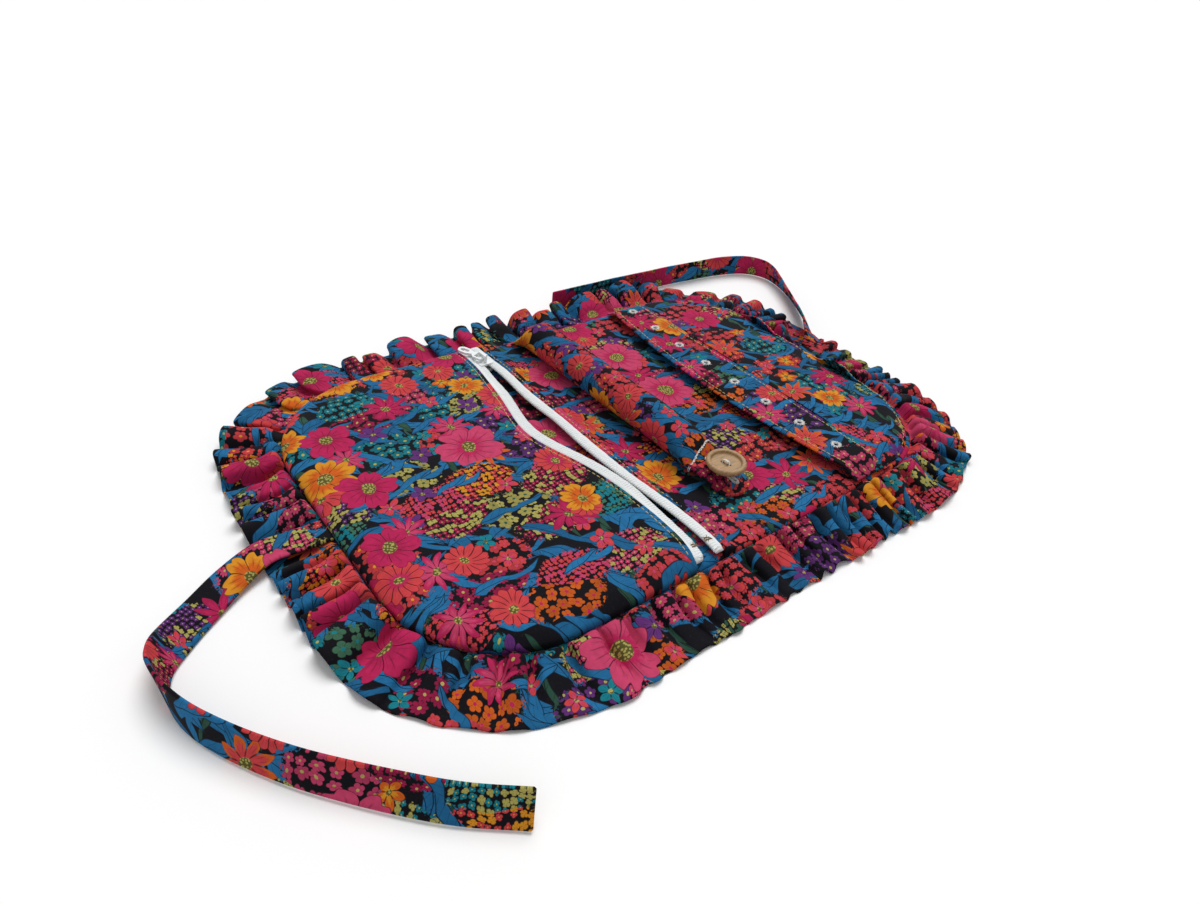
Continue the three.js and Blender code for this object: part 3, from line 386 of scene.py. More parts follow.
class Graph:
    """Short calls for building a node tree."""

    def __init__(self, tree):
        self.tree = tree

    def node(self, kind, inputs, **settings):
        made = self.tree.nodes.new("ShaderNode" + kind)
        for key, value in settings.items():
            setattr(made, key, value)
        for key, value in inputs.items():
            self.put(made.inputs[key], value)
        return Outputs(self, made)

    def put(self, socket, value):
        if isinstance(value, Flow):
            self.tree.links.new(value.socket, socket)
        else:
            socket.default_value = value

    def math(self, operation, *values):
        vectors = isinstance(values[0], Flow) and values[0].socket.type in ("VECTOR", "RGBA")
        return self.node("VectorMath" if vectors else "Math", dict(enumerate(values)), operation=operation)[0]

    def scaled(self, vector, factor):
        return self.node("VectorMath", {0: vector, "Scale": factor}, operation="SCALE")[0]

    def mix(self, share, a, b, blend="MIX"):
        a, b = (value if isinstance(value, Flow) else (*value[:3], 1) for value in (a, b))
        return self.node("Mix", {0: share, 6: a, 7: b}, data_type="RGBA", blend_type=blend)[2]

    def ramp(self, value, stops, interpolation="CONSTANT"):
        made = self.node("ValToRGB", {"Fac": value})
        ramp = made.node.color_ramp
        ramp.interpolation = interpolation
        ramp.elements.remove(ramp.elements[-1])
        for i, (place, tint) in enumerate(stops):
            stop = ramp.elements.new(place) if i else ramp.elements[0]
            stop.position, stop.color = place, (*tint[:3], 1)
        return made[0]

    def join(self, x, y, z=0.0):
        return self.node("CombineXYZ", {0: x, 1: y, 2: z})[0]

    def split(self, vector):
        return self.node("SeparateXYZ", {0: vector})

    def pick(self, cells):
        """Three random numbers for each cell."""
        return self.node("SeparateColor", {0: cells["Color"]})

    def turned(self, vector, angle):
        return self.node("VectorRotate", {"Vector": vector, "Angle": angle}, rotation_type="Z_AXIS")[0]

    def cells(self, place, randomness=1.0, scale=1.0):
        return self.node("TexVoronoi", {"Vector": place, "Scale": scale, "Randomness": randomness},
                         voronoi_dimensions="2D", feature="F1")

    def noise(self, place, scale, detail=2.0, dimensions="3D", distortion=0.0):
        inputs = {"Vector": place, "Scale": scale, "Detail": detail, "Distortion": distortion}
        return self.node("TexNoise", inputs, noise_dimensions=dimensions)

    def group(self, tree, inputs):
        return self.node("Group", inputs, node_tree=tree)

    def on_cloth(self):
        """Place on the flat cloth, in millimetres."""
        return self.scaled(self.node("UVMap", {}, uv_map="cloth")[0], 100.0)

    def in_object(self):
        return self.node("TexCoord", {})["Object"]

    def bump(self, height, strength, distance=0.0001):
        return self.node("Bump", {"Strength": strength, "Distance": distance, "Height": height})[0]

    def surface(self, **values):
        """Sets the inputs of the material's shader."""
        for key, value in values.items():
            self.put(self.tree.nodes["Principled BSDF"].inputs[key.replace("_", " ")], value)

    def give(self, kind="NodeSocketFloat", **values):
        """Gives a node group its outputs."""
        for label in values:
            self.tree.interface.new_socket(label, in_out="OUTPUT", socket_type=kind)
        sink = self.tree.nodes.new("NodeGroupOutput")
        for label, value in values.items():
            self.put(sink.inputs[label], value)
        return self.tree


def new_group(name, **numbers):
    """A node group with a vector input and the given numbers."""
    tree = bpy.data.node_groups.new(name, "ShaderNodeTree")
    tree.interface.new_socket("Vector", in_out="INPUT", socket_type="NodeSocketVector")
    for label, default in numbers.items():
        tree.interface.new_socket(label, in_out="INPUT", socket_type="NodeSocketFloat").default_value = default
    g = Graph(tree)
    return g, Outputs(g, tree.nodes.new("NodeGroupInput"))


def shaded(tint, share):
    return tuple(min(1, x * share) for x in tint)


def flower_group():
    """One scattered flower to each cell: masks for the petals, their outlines and the heart."""
    g, i = new_group("scattered flowers", Cell=20.0, Shift=0.0, Amount=0.6, Petals=5.0, Radius=0.42, Depth=0.4,
                     Power=2.0, Notch=0.0, Heart=0.25, Jitter=0.6, Line=0.35)
    cell, petals, heart_size, ink = i["Cell"], i["Petals"], i["Heart"], i["Line"]
    place = i["Vector"] / g.join(cell, cell, 1.0) + g.join(i["Shift"], i["Shift"] * 1.37)
    cells = g.cells(place, i["Jitter"])
    pick = g.pick(cells)
    offset = place - cells["Position"]
    x, y = g.split(offset)[0], g.split(offset)[1]
    radius = g.node("VectorMath", {0: offset}, operation="LENGTH")[1]
    turn = y.math("ARCTAN2", x) + pick[2] * 6.2832
    across = abs((turn * 0.1591549 * petals).math("FRACT") - 0.5) * 2.0
    size = i["Radius"] * pick[0].step(0.0, 1.0, 0.78, 1.05)
    rim = 1.0 - i["Depth"] * across.math("POWER", i["Power"]) - i["Notch"] * across.step(0.28, 0.0)
    reach = radius / (size * rim)
    here = pick[1].math("LESS_THAN", i["Amount"])
    span = cell * i["Radius"]
    petal = reach.step(1.0 + 0.3 / span, 1.0) * here
    outline = reach.step(1.0 - ink / span, 1.0)

    # Gaps between petals, and veins along them
    gap = (1.0 - across) * (radius * cell * (3.1416 / petals))
    parted = gap.step(ink, ink * 0.4) * reach.step(0.3, 0.5)
    veins = (across * across * 14.0).math("SINE").step(0.82, 1.0)
    veins = veins * (reach.step(0.28, 0.5) * reach.step(0.86, 0.6))
    edge = outline.math("MAXIMUM", parted).math("MAXIMUM", veins * 0.55)
    heart = (radius / size).step(heart_size, heart_size * 0.85) * here
    return g.give(Petal=petal, Edge=edge, Heart=heart, Reach=reach, Pick=pick[0])


def leaf_group():
    """Scattered pointed leaves about one direction: a mask, the veins and a random value."""
    g, i = new_group("scattered leaves", Long=26.0, Wide=11.0, Turn=0.3, Amount=0.9, Shift=0.0)
    size = g.join(i["Long"], i["Wide"], 1.0)
    place = g.turned(i["Vector"], i["Turn"]) / size + g.join(i["Shift"], i["Shift"] * 2.1)
    row = g.split(place)[1].math("FLOOR")
    place = place + g.join(row * 0.43, 0.0)
    cells = g.cells(place, 0.3)
    pick = g.pick(cells)
    local = g.split(g.turned((place - cells["Position"]) * size, pick[0].step(0.0, 1.0, -0.2, 0.2)))
    x, y = local[0], local[1]
    u = x / (i["Long"] * 0.44)
    off_rib = abs(y + u * u * pick[2].step(0.0, 1.0, -1.6, 1.6))
    swell = (1.0 - u * u) * (1.0 + u * -0.45)
    gap = swell * (i["Wide"] * pick[1].step(0.0, 1.0, 0.24, 0.36)) - off_rib
    leaf = gap.step(0.0, 0.3) * pick[1].math("LESS_THAN", i["Amount"])
    ribs = ((x + off_rib * -1.1) * 1.6).math("SINE").step(0.95, 1.0)
    vein = off_rib.step(0.26, 0.08).math("MAXIMUM", (ribs * 0.5).math("MAXIMUM", gap.step(0.6, 0.35)))
    return g.give(Leaf=leaf, Vein=vein, Pick=pick[2])


def print_group(c):
    """The whole floral print: leaves and clusters of florets over a dark ground, then the larger blooms."""
    flowers, leaves = flower_group(), leaf_group()
    g, i = new_group("floral print")
    wander = g.scaled(g.noise(i["Vector"], 0.06, 1.0, "2D")["Color"] - (0.5, 0.5, 0.5), 6.0)
    cloth = (i["Vector"] + wander) * (1, 1, 0)
    grain = g.noise(i["Vector"], 0.9, 2.0, "2D")[0]
    dark, deep = shaded(c["ground"], 0.9), shaded(c["magenta"], 0.75)
    pink, green, moss = (0.56, 0.055, 0.14), (0.03, 0.09, 0.06), (0.06, 0.17, 0.1)

    def lay_leaves(under, shift, turn, long, wide, amount, tint):
        out = g.group(leaves, {"Vector": cloth, "Long": long, "Wide": wide, "Turn": turn, "Amount": amount,
                               "Shift": shift})
        shade = g.mix(out["Vein"] * 0.9, g.mix(out["Pick"], tint, shaded(tint, 0.62)), dark)
        return g.mix(out["Leaf"], under, shade)

    colour = c["ground"]
    for layer in ((0.3, 0.35, 31, 17, 0.8, c["leaf"]), (2.2, 1.4, 19, 11, 0.35, green),
                  (9.1, 1.1, 30, 16, 0.7, c["leaf"]), (4.7, -0.45, 28, 15, 0.5, c["leaf"])):
        colour = lay_leaves(colour, *layer)

    # Clusters of florets, one colour and one size of floret to each cluster
    patch = g.cells(cloth * (1 / 34.0, 1 / 22.0, 0.0), 0.85)
    chosen = g.pick(patch)
    cluster = (patch["Distance"] + grain * 0.22).step(0.64, 0.6) * chosen[0].math("LESS_THAN", 0.88)
    colour = g.mix(cluster, colour, dark)
    tint = g.ramp(chosen[1], [(0, c["purple"]), (0.08, pink), (0.22, c["coral"]), (0.44, c["olive"]),
                              (0.49, c["teal"]), (0.6, c["coral"]), (0.78, moss), (0.83, deep),
                              (0.95, c["orange"])])
    hearts = g.ramp(chosen[1], [(0, c["olive"]), (0.22, pink), (0.44, green), (0.49, c["olive"]),
                                (0.6, c["amber"]), (0.78, c["teal"]), (0.83, c["olive"]), (0.95, c["magenta"])])
    more = chosen[2].math("GREATER_THAN", 0.62) * 3.0
    for shift, cell, petals, low, high in ((5.5, 2.6, 4.0, 0.0, 0.2), (1.5, 6.0, 5.0, 0.2, 0.8),
                                           (8.5, 4.4, 5.0, 0.8, 1.01)):
        out = g.group(flowers, {"Vector": cloth, "Cell": cell, "Shift": shift, "Amount": 0.98,
                                "Petals": petals + more, "Radius": 0.52, "Depth": 0.34, "Power": 2.2,
                                "Heart": 0.25, "Jitter": 0.4, "Line": 0.09})
        inside = chosen[2].math("GREATER_THAN", low) * chosen[2].math("LESS_THAN", high)
        if cell < 3:
            shade = g.mix(out["Pick"].math("GREATER_THAN", 0.6), tint, hearts)
        else:
            shade = g.mix(out["Pick"] * 0.5, tint, g.mix(0.6, tint, dark))
        shade = g.mix(out["Heart"], g.mix(out["Edge"] * 0.6, shade, dark), hearts)
        colour = g.mix(out["Petal"] * inside * cluster, colour, shade)
    colour = lay_leaves(colour, 6.6, 0.75, 31, 17, 0.3, c["leaf"])
    colour = lay_leaves(colour, 3.4, -0.2, 27, 15, 0.22, c["leaf"])

    # Blooms: shift, cell, amount, petals, radius, depth, power, notch, heart, blush, tip colours, base colours
    blooms = (
        (3.3, 13.5, 0.24, 5, 0.44, 0.55, 1.5, 0, 0.2, 0.55,
         [(0, c["teal"]), (0.25, c["coral"]), (0.65, c["orange"]), (0.8, c["purple"])],
         [(0, c["teal"]), (0.25, pink), (0.65, c["amber"]), (0.8, c["purple"])]),
        (7.9, 29, 0.2, 9, 0.44, 0.62, 1.3, 0, 0.18, 0.7, [(0, c["magenta"]), (0.4, c["orange"]), (0.6, deep)],
         [(0, pink), (0.4, c["coral"]), (0.6, c["magenta"])]),
        (1.9, 33, 0.36, 13, 0.34, 0.2, 1.6, 0, 0.22, 0.4, [(0, c["coral"])],
         [(0, c["coral"]), (0.5, c["magenta"])]),
        (12.6, 37, 0.13, 6, 0.35, 0.36, 2.4, 0.16, 0.26, 0.62, [(0, c["amber"])], [(0, c["orange"])]),
        (6.4, 43, 0.34, 5, 0.38, 0.34, 3.0, 0.12, 0.28, 0.45, [(0, c["magenta"]), (0.6, pink)],
         [(0, deep), (0.6, c["magenta"])]))
    seeds = g.cells(i["Vector"], scale=0.85)["Distance"].step(0.42, 0.3)
    seeded = g.mix(seeds, shaded(c["olive"], 0.25), c["olive"])
    for shift, cell, amount, petals, radius, depth, power, notch, heart, blush, tips, bases in blooms:
        out = g.group(flowers, {"Vector": cloth, "Cell": cell, "Shift": shift, "Amount": amount,
                                "Petals": petals, "Radius": radius, "Depth": depth, "Power": power,
                                "Notch": notch, "Heart": heart, "Jitter": 0.55, "Line": 0.3})
        reach = out["Reach"] + grain * 0.25
        shade = g.mix(reach.step(blush, blush + 0.3), g.ramp(out["Pick"], bases), g.ramp(out["Pick"], tips))
        shade = g.mix(out["Heart"], g.mix(out["Edge"] * 0.8, shade, dark), seeded)
        colour = g.mix(out["Petal"], colour, shade)
    return g.give("NodeSocketColor", Color=g.mix(grain.step(0.55, 0.8) * 0.012, colour, (0.4, 0.38, 0.36)))


def weave_group():
    """Plain weave: a height and a value that follow the threads."""
    g, i = new_group("plain weave", Threads=2.6)
    place = g.split(g.scaled(i["Vector"], i["Threads"] * 3.1416))
    cross = place[0].math("SINE") * place[1].math("SINE")
    slub = g.noise(i["Vector"], 0.35, 3.0)[0]
    return g.give(Height=cross * 0.5 + slub, Value=0.93 + (slub - 0.5) * 0.5)


# Materials


def new_material(name):
    material = bpy.data.materials.new(name)
    material.use_nodes = True
    return material, Graph(material.node_tree)


def printed_cotton(prints, weave):
    material, g = new_material("printed cotton")
    place = g.on_cloth()
    colours = {key: tuple(getattr(prints, key)) for key in prints.__annotations__}
    floral = g.group(print_group(colours), {"Vector": place})
    threads = g.group(weave, {"Vector": place, "Threads": 2.6})
    grey = g.node("CombineColor", {0: threads[1], 1: threads[1], 2: threads[1]})[0]
    g.surface(Base_Color=g.mix(1.0, floral[0], grey, "MULTIPLY"), Normal=g.bump(threads[0], 0.35),
              Roughness=0.62 + threads[1] * 0.15, Sheen_Weight=0.01, Sheen_Roughness=0.5,
              Specular_IOR_Level=0.06)
    return material


def sewing_thread(name, tint):
    material, g = new_material(name)
    place = g.in_object()
    twist = g.node("TexWave", {"Vector": place, "Scale": 900.0, "Distortion": 2.0},
                   bands_direction="DIAGONAL")[1]
    fuzz = g.noise(place, 1500.0)[0]
    g.surface(Base_Color=g.mix(twist * 0.35, tint, shaded(tint, 0.62)), Normal=g.bump(twist + fuzz, 0.4),
              Roughness=0.65 + fuzz * 0.15, Sheen_Weight=0.2)
    return material


def tape_cloth(white, weave):
    """Woven tape with ribs over the coils beneath it, and painted shade in the grooves between the ribs."""
    material, g = new_material("zip tape")
    place = g.on_cloth()
    x, y = g.split(place)[0], g.split(place)[1]
    ribs = (y * 4.488).math("SINE") * abs(x).step(3.2, 1.6)
    threads = g.group(weave, {"Vector": place, "Threads": 2.0})
    # Painted shade: the white turns grey where the ribs dip, in the grooves between them
    g.surface(Base_Color=g.mix(ribs.step(0.2, -1.0, 0.0, 0.35), white, (0.5, 0.53, 0.54)),
              Normal=g.bump(ribs * 0.5 + threads[0], 0.5, 0.0002), Roughness=0.7 + threads[1] * 0.1)
    return material


def coil_nylon(white):
    material, g = new_material("zip coil nylon")
    haze = g.noise(g.in_object(), 260.0, 3.0)[0]
    g.surface(Base_Color=g.mix(haze, white, shaded(white, 0.9)), Roughness=0.32 + haze * 0.16,
              Specular_IOR_Level=0.5)
    return material


def white_enamel(white):
    material, g = new_material("white enamel")
    haze = g.noise(g.in_object(), 420.0)[0]
    g.surface(Base_Color=g.mix(haze.step(0.6, 0.9, 0.0, 0.5), white, (0.62, 0.65, 0.66)),
              Roughness=0.2 + haze * 0.18, Normal=g.bump(haze, 0.12), Coat_Weight=0.4, Coat_Roughness=0.15)
    return material


def button_wood(wood):
    material, g = new_material("button wood")
    place = g.in_object()
    rings = g.noise(place * (160.0, 1300.0, 500.0), 1.0, 4.0, distortion=0.6)[0]
    fine = g.noise(place * (900.0, 6000.0, 3000.0), 1.0)[0]
    tone = g.ramp(rings, [(0.25, shaded(wood, 0.55)), (0.5, wood), (0.78, shaded(wood, 1.35))], "LINEAR")
    g.surface(Base_Color=g.mix(fine.step(0.6, 0.8, 0.0, 0.45), tone, shaded(wood, 0.4)),
              Roughness=0.45 + rings * 0.2, Normal=g.bump(fine, 0.08, 0.0002))
    return material


MATERIALS = {}


def material_of(key):
    if not MATERIALS:
        hard, weave = bpy.context.scene.pouch_hardware, weave_group()
        white = tuple(hard.enamel)
        MATERIALS.update(
            print=printed_cotton(bpy.context.scene.pouch_print, weave),
            gold=sewing_thread("gold thread", tuple(hard.gold_thread)),
            white=sewing_thread("white thread", (0.78, 0.77, 0.74)),
            brown=sewing_thread("brown thread", (0.2, 0.12, 0.05)),
            tape=tape_cloth(white, weave),
            coil=coil_nylon(white),
            enamel=white_enamel(white),
            wood=button_wood(tuple(hard.wood)))
    return MATERIALS[key]


# Mesh helpers


def linked(name, data):
    obj = bpy.data.objects.new(name, data)
    bpy.context.scene.collection.objects.link(obj)
    return obj


def mesh_object(name, points, faces, corner_uv=None, material=None, merge=False):
    mesh = bpy.data.meshes.new(name)
    mesh.from_pydata((np.asarray(points) / 1000).tolist(), [], [list(map(int, f)) for f in faces])
    if corner_uv is not None:
        layer = mesh.uv_layers.new(name="cloth")
        layer.data.foreach_set("uv", (np.asarray(corner_uv, np.float32) / 100).ravel())
    if merge:
        bm = bmesh.new()
        bm.from_mesh(mesh)
        bmesh.ops.remove_doubles(bm, verts=bm.verts, dist=2e-6)
        bmesh.ops.recalc_face_normals(bm, faces=bm.faces)
        bm.to_mesh(mesh)
        bm.free()
    mesh.polygons.foreach_set("use_smooth", [True] * len(mesh.polygons))
    if material:
        mesh.materials.append(material_of(material))
    return linked(name, mesh)


def grid_faces(rows, columns, wrap=False):
    r = np.arange(rows - 1)[:, None]
    c = np.arange(columns if wrap else columns - 1)[None, :]
    n = (c + 1) % columns
    this, after = r * columns, (r + 1) * columns
    return np.stack(np.broadcast_arrays(this + c, after + c, after + n, this + n), -1).reshape(-1, 4)


def cloth_sheet(name, grid, uv, thickness, material="print", flip=False):
    """A closed thin sheet with rounded rims about a grid of points in millimetres."""
    normals = unit(np.cross(np.gradient(grid, axis=0), np.gradient(grid, axis=1)))
    up = normals * (-1 if flip else 1) * thickness / 2

    def pushed(edge, inner):
        return edge + unit(edge - inner) * thickness / 2

    right, left = pushed(grid[:, -1], grid[:, -2]), pushed(grid[:, 0], grid[:, 1])
    ring = np.concatenate([grid + up, right[:, None], (grid - up)[:, ::-1], left[:, None]], 1)
    ring_uv = np.concatenate([uv, uv[:, -1:], uv[:, ::-1], uv[:, :1]], 1)
    ends = []
    for i, j in ((0, 1), (-1, -2)):
        middle = pushed(grid[i], grid[j])
        ends.append(np.concatenate([middle, middle[-1:], middle[::-1], middle[:1]], 0)[None])
    points = np.concatenate([ends[0], ring, ends[1]], 0)
    points_uv = np.concatenate([ring_uv[:1], ring_uv, ring_uv[-1:]], 0)
    faces = grid_faces(*points.shape[:2], wrap=True)
    corners = points_uv.reshape(-1, 2)[faces].reshape(-1, 2)
    return mesh_object(name, points.reshape(-1, 3), faces, corners, material, True)


def frames_along(path):
    """Sideways and upward directions along a path."""
    ahead = unit(np.gradient(path, axis=0))
    side = unit(np.cross(ahead, [0, 0, 1.0]))
    return side, np.cross(side, ahead)


def tube(path, radius, sides):
    """Points and faces of a round tube with pinched, closed ends."""
    path = np.asarray(path, float)
    radii = np.broadcast_to(np.asarray(radius, float), len(path))
    side, up = frames_along(path)
    turn = np.linspace(0, 2 * math.pi, sides, endpoint=False)[None, :, None]
    rings = path[:, None] + radii[:, None, None] * (np.cos(turn) * side[:, None] + np.sin(turn) * up[:, None])
    faces = [list(f) for f in grid_faces(len(path), sides, wrap=True)[:, ::-1]]
    last = (len(path) - 1) * sides
    faces += [list(range(sides)), [last + i for i in range(sides)][::-1]]
    return rings.reshape(-1, 3), faces


def tubes_object(name, tubes, material):
    """One piece made of several tubes."""
    points, faces, base = [], [], 0
    for p, f in tubes:
        points.append(p)
        faces += [[base + i for i in face] for face in f]
        base += len(p)
    return mesh_object(name, np.vstack(points), faces, material=material)


def stitches(name, path, seed, stitch=2.3, gap=0.7, radius=0.29, arch=0.2, fine=0.1):
    """A row of separate gold stitches along a path."""
    line = resample(path, fine)
    rng = np.random.default_rng(seed)
    bow = np.sin(np.linspace(0, math.pi, 6))
    tubes = []
    for k in range(int((len(line) - 1) * fine / (stitch + gap))):
        start, long = k * (stitch + gap) + 0.2 + rng.uniform(-0.1, 0.1), stitch * rng.uniform(0.92, 1.06)
        at = np.clip(((start + long * np.linspace(0, 1, 6)) / fine).astype(int), 0, len(line) - 1)
        piece = line[at].copy()
        if np.linalg.norm(piece[-1] - piece[0]) < stitch * 0.4:
            continue
        piece[:, 2] += arch * bow - 0.1
        sway = np.cross(piece[-1] - piece[0], [0, 0, 1.0])
        piece += sway / np.linalg.norm(sway) * rng.uniform(-0.09, 0.09)
        tubes.append(tube(piece, radius * (0.55 + 0.45 * bow), 6))
    return tubes_object(name, tubes, "gold")


def line_on(function, xs, ys, lift):
    return np.stack([xs, ys, function(xs, ys) + lift], -1)


def drills(places, radius, depth, segments):
    """Rods to cut holes with."""
    rods = bmesh.new()
    for place in places:
        bmesh.ops.create_cone(rods, cap_ends=True, segments=segments, radius1=radius, radius2=radius,
                              depth=depth, matrix=Matrix.Translation(place))
    mesh = bpy.data.meshes.new("drills")
    rods.to_mesh(mesh)
    rods.free()
    return linked("drills", mesh)


def drilled(obj, rods):
    """Cuts the holes and keeps the result as the mesh."""
    cut = obj.modifiers.new("holes", "BOOLEAN")
    cut.object, cut.operation = rods, "DIFFERENCE"
    graph = bpy.context.evaluated_depsgraph_get()
    mesh = bpy.data.meshes.new_from_object(obj.evaluated_get(graph), preserve_all_data_layers=True,
                                           depsgraph=graph)
    obj.modifiers.clear()
    obj.data = mesh
    mesh.polygons.foreach_set("use_smooth", [True] * len(mesh.polygons))


# Quilted panel


def pad_side(side):
    """Half of the quilted panel, from its round end to the spine's middle: cover, wadding and lining in one."""
    ys = slices(-HALF_Y, HALF_Y, 92)
    far = side * end_x(ys)
    under_x = between(far, np.full_like(far, SPINE_MIDDLE), crowded(70))
    under_y = along_slices(ys, under_x)
    x, y = under_x, under_y
    inset = np.maximum(seam_inset(x, y), 0)
    open_cloth = smooth((x - 22) / 8) * smooth((70 - x) / 10)
    waves = noise2(x / 26, y / 34, 5) * 0.8 + noise2(x / 12, y / 19, 9) * 0.35
    ripples = in_mm("wrinkle") * waves * (0.3 + 0.7 * open_cloth)
    pull = np.sin(x * 0.62 + 1.6 * noise2(x / 30, y / 30, 2)) * np.exp(-inset / 5.0) * 0.35
    top = pad_top(inset) + (ripples + pull) * smooth(inset / 4)
    x, y = bulged(x, y, top, 2.6, 6.4, 0.7)
    bottom = 2.3 * (1 - np.minimum(inset / 6.5, 1)) ** 2.0 + 0.02
    ring = np.concatenate([np.stack([x, y, top], -1), np.stack([under_x, under_y, bottom], -1)[:, ::-1]], 1)
    flat = np.concatenate([np.stack([x, y], -1), np.stack([x + 417, y + 93], -1)[:, ::-1]], 1)
    faces = grid_faces(*ring.shape[:2], wrap=True)[:, ::-side]
    corners = flat.reshape(-1, 2)[faces].reshape(-1, 2)
    name = "pad_left" if side < 0 else "pad_right"
    return mesh_object(name, ring.reshape(-1, 3), faces, corners, "print", True)


# Zip pocket and zip


def with_lip(x, z, direction):
    """Adds the turned edge of a pocket's mouth to the slices of a sheet: round the rim and back underneath."""
    r = 0.3
    turn = np.linspace(0, math.pi, 6)[1:]
    out_x = direction * np.concatenate([np.sin(turn) * r, [-1.5, -4.0]])
    out_z = np.concatenate([-r + np.cos(turn) * r, [-2 * r, -2 * r]])
    x, z = x[:, ::direction], z[:, ::direction]
    x, z = np.concatenate([x, x[:, -1:] + out_x], 1), np.concatenate([z, z[:, -1:] + out_z], 1)
    return x[:, ::direction], z[:, ::direction]


def run_across(x, z):
    """Way along each slice of a sheet, from its first point."""
    steps = np.hypot(np.diff(x, axis=1), np.diff(z, axis=1))
    return np.concatenate([np.zeros((len(x), 1)), np.cumsum(steps, 1)], 1)


def zip_pocket_front():
    ys = slices(-HALF_Y + 0.1, HALF_Y - 0.1, 116)
    stop = mouth_x(ys, -1)
    x = between(-end_x(ys, 0.1), stop, crowded(88))
    z = pocket_top(x, along_slices(ys, x)) - 0.25 - bell(stop[:, None] - x - 1.9, 0.8) * 0.3
    rim = x.shape[1] - 1
    x, z = with_lip(x, z, 1)
    y, run = along_slices(ys, x), run_across(x, z)
    uv = np.stack([stop[:, None] - (run[:, rim:rim + 1] - run), y], -1)
    x, y = bulged(x, y, z, 3.0, 10.5, 1.3)
    return cloth_sheet("zip_pocket_cloth", np.stack([x, y, z], -1), uv, in_mm("cloth"), flip=True)


def zip_facing():
    ys = slices(-HALF_Y + 0.1, HALF_Y - 0.1, 96)
    start = mouth_x(ys, 1)
    x = between(start, np.full_like(ys, FOLD_LEFT), np.linspace(0, 1, 16))
    y = along_slices(ys, x)
    z = pocket_top(x, y) - 0.25 - bell(x - start[:, None] - 1.9, 0.8) * 0.3
    x, z = with_lip(x, np.maximum(z, pad_top(seam_inset(x, y)) + 0.3), -1)
    y, run = along_slices(ys, x), run_across(x, z)
    uv = np.stack([FOLD_LEFT - (run[:, -1:] - run), y], -1)
    return cloth_sheet("zip_facing_cloth", np.stack([x, y, z], -1), uv, in_mm("cloth"), flip=True)


def zip_tape(name, side):
    """Woven tape from under the pocket's edge up over its coil, ribbed where it lies on the coil."""
    inward = -side
    near_y, wrap = -103.8, 1.45
    ys = np.linspace(100.5, near_y, 620)
    near_end = np.sqrt(np.clip((ys - near_y) / 2.6, 0, 1))[:, None]
    hem, coil = mouth_x(ys, side)[:, None], coil_x(ys, side)[:, None]
    outer, inner = hem - inward * 3.0, coil + inward * wrap
    x = outer + (inner - outer) * np.linspace(0, 1, 21)[None]
    shown = (x - hem) * inward
    past = np.clip((x - coil) * inward, 0, wrap)
    share = np.clip(shown / ((coil - hem) * inward), 0, 1)
    middle = (hem + inner) / 2
    x = middle + (x - middle) * (0.62 + 0.38 * near_end)
    y = along_slices(ys, x)
    under = tape_height(np.minimum(x, hem) if inward > 0 else np.maximum(x, hem), y)
    blend = smooth(share * 1.2)
    pitch = bpy.context.scene.pouch_hardware.coil_pitch * 1000
    ribs = 0.17 * np.sin(2 * math.pi * y / pitch) * smooth((shown - 1.7) / 1.4)
    round_over = np.sqrt(1 - (1 - share) ** 2) * np.sqrt(1 - (past / 1.75) ** 2)
    lift = (1.9 * round_over + ribs) * near_end + 0.12 * noise2(y / 2.2, x / 2.2, 8)
    z = under * (1 - blend) + zip_height(ys, side)[:, None] * blend + lift * smooth(shown + 0.3)
    grid, uv = np.stack([x, y, z], -1), np.stack([x - coil, y], -1)
    return cloth_sheet(name, grid, uv, 0.45, "tape", flip=inward > 0)


def zip_coil(name, side):
    ys = np.linspace(90.0, -102.8, 400)
    path = np.stack([coil_x(ys, side), ys, zip_height(ys, side) + 0.85], -1)
    per_turn = 9
    line = resample(path, bpy.context.scene.pouch_hardware.coil_pitch * 1000 / per_turn)
    turn = np.arange(len(line)) / per_turn * 2 * math.pi * -side
    out, up = frames_along(line)
    helix = line + out * (1.3 * np.cos(turn))[:, None] + up * (0.75 * np.sin(turn))[:, None]
    return tubes_object(name, [tube(helix, 0.42, 6), tube(resample(path, 2.0), 0.85, 8)], "coil")


def bar_tack(name, side):
    """A few loose back and forth threads over the end of a strand."""
    tubes = []
    rng = np.random.default_rng(4)
    share = np.linspace(-1, 1, 11)
    for k in range(7):
        y = np.array([-96.6 + rng.uniform(-1.5, 1.5)])
        x = coil_x(y, side) + rng.uniform(-0.8, 0.4)
        wide, sway, bow = 2.2 * rng.uniform(0.45, 1.0), rng.uniform(-1.3, 1.3), rng.uniform(-0.7, 0.7)
        z = zip_height(y, side) + 2.25 - 0.7 * share ** 4 + 0.12 * (k % 3)
        path = np.stack([x + share * wide, y + sway * share + bow * share ** 2, z], -1)
        tubes.append(tube(path, 0.15 * (1 - 0.6 * share ** 8), 6))
    return tubes_object(name, tubes, "brown")


# Ruffle


def tie_distance(x, y, route):
    best = np.full(np.shape(x), 1e9)
    for (ax, ay, *_), (bx, by, *_) in zip(route, route[1:]):
        share = np.clip(((x - ax) * (bx - ax) + (y - ay) * (by - ay)) / ((bx - ax) ** 2 + (by - ay) ** 2), 0, 1)
        best = np.minimum(best, np.hypot(x - ax - share * (bx - ax), y - ay - share * (by - ay)))
    return best


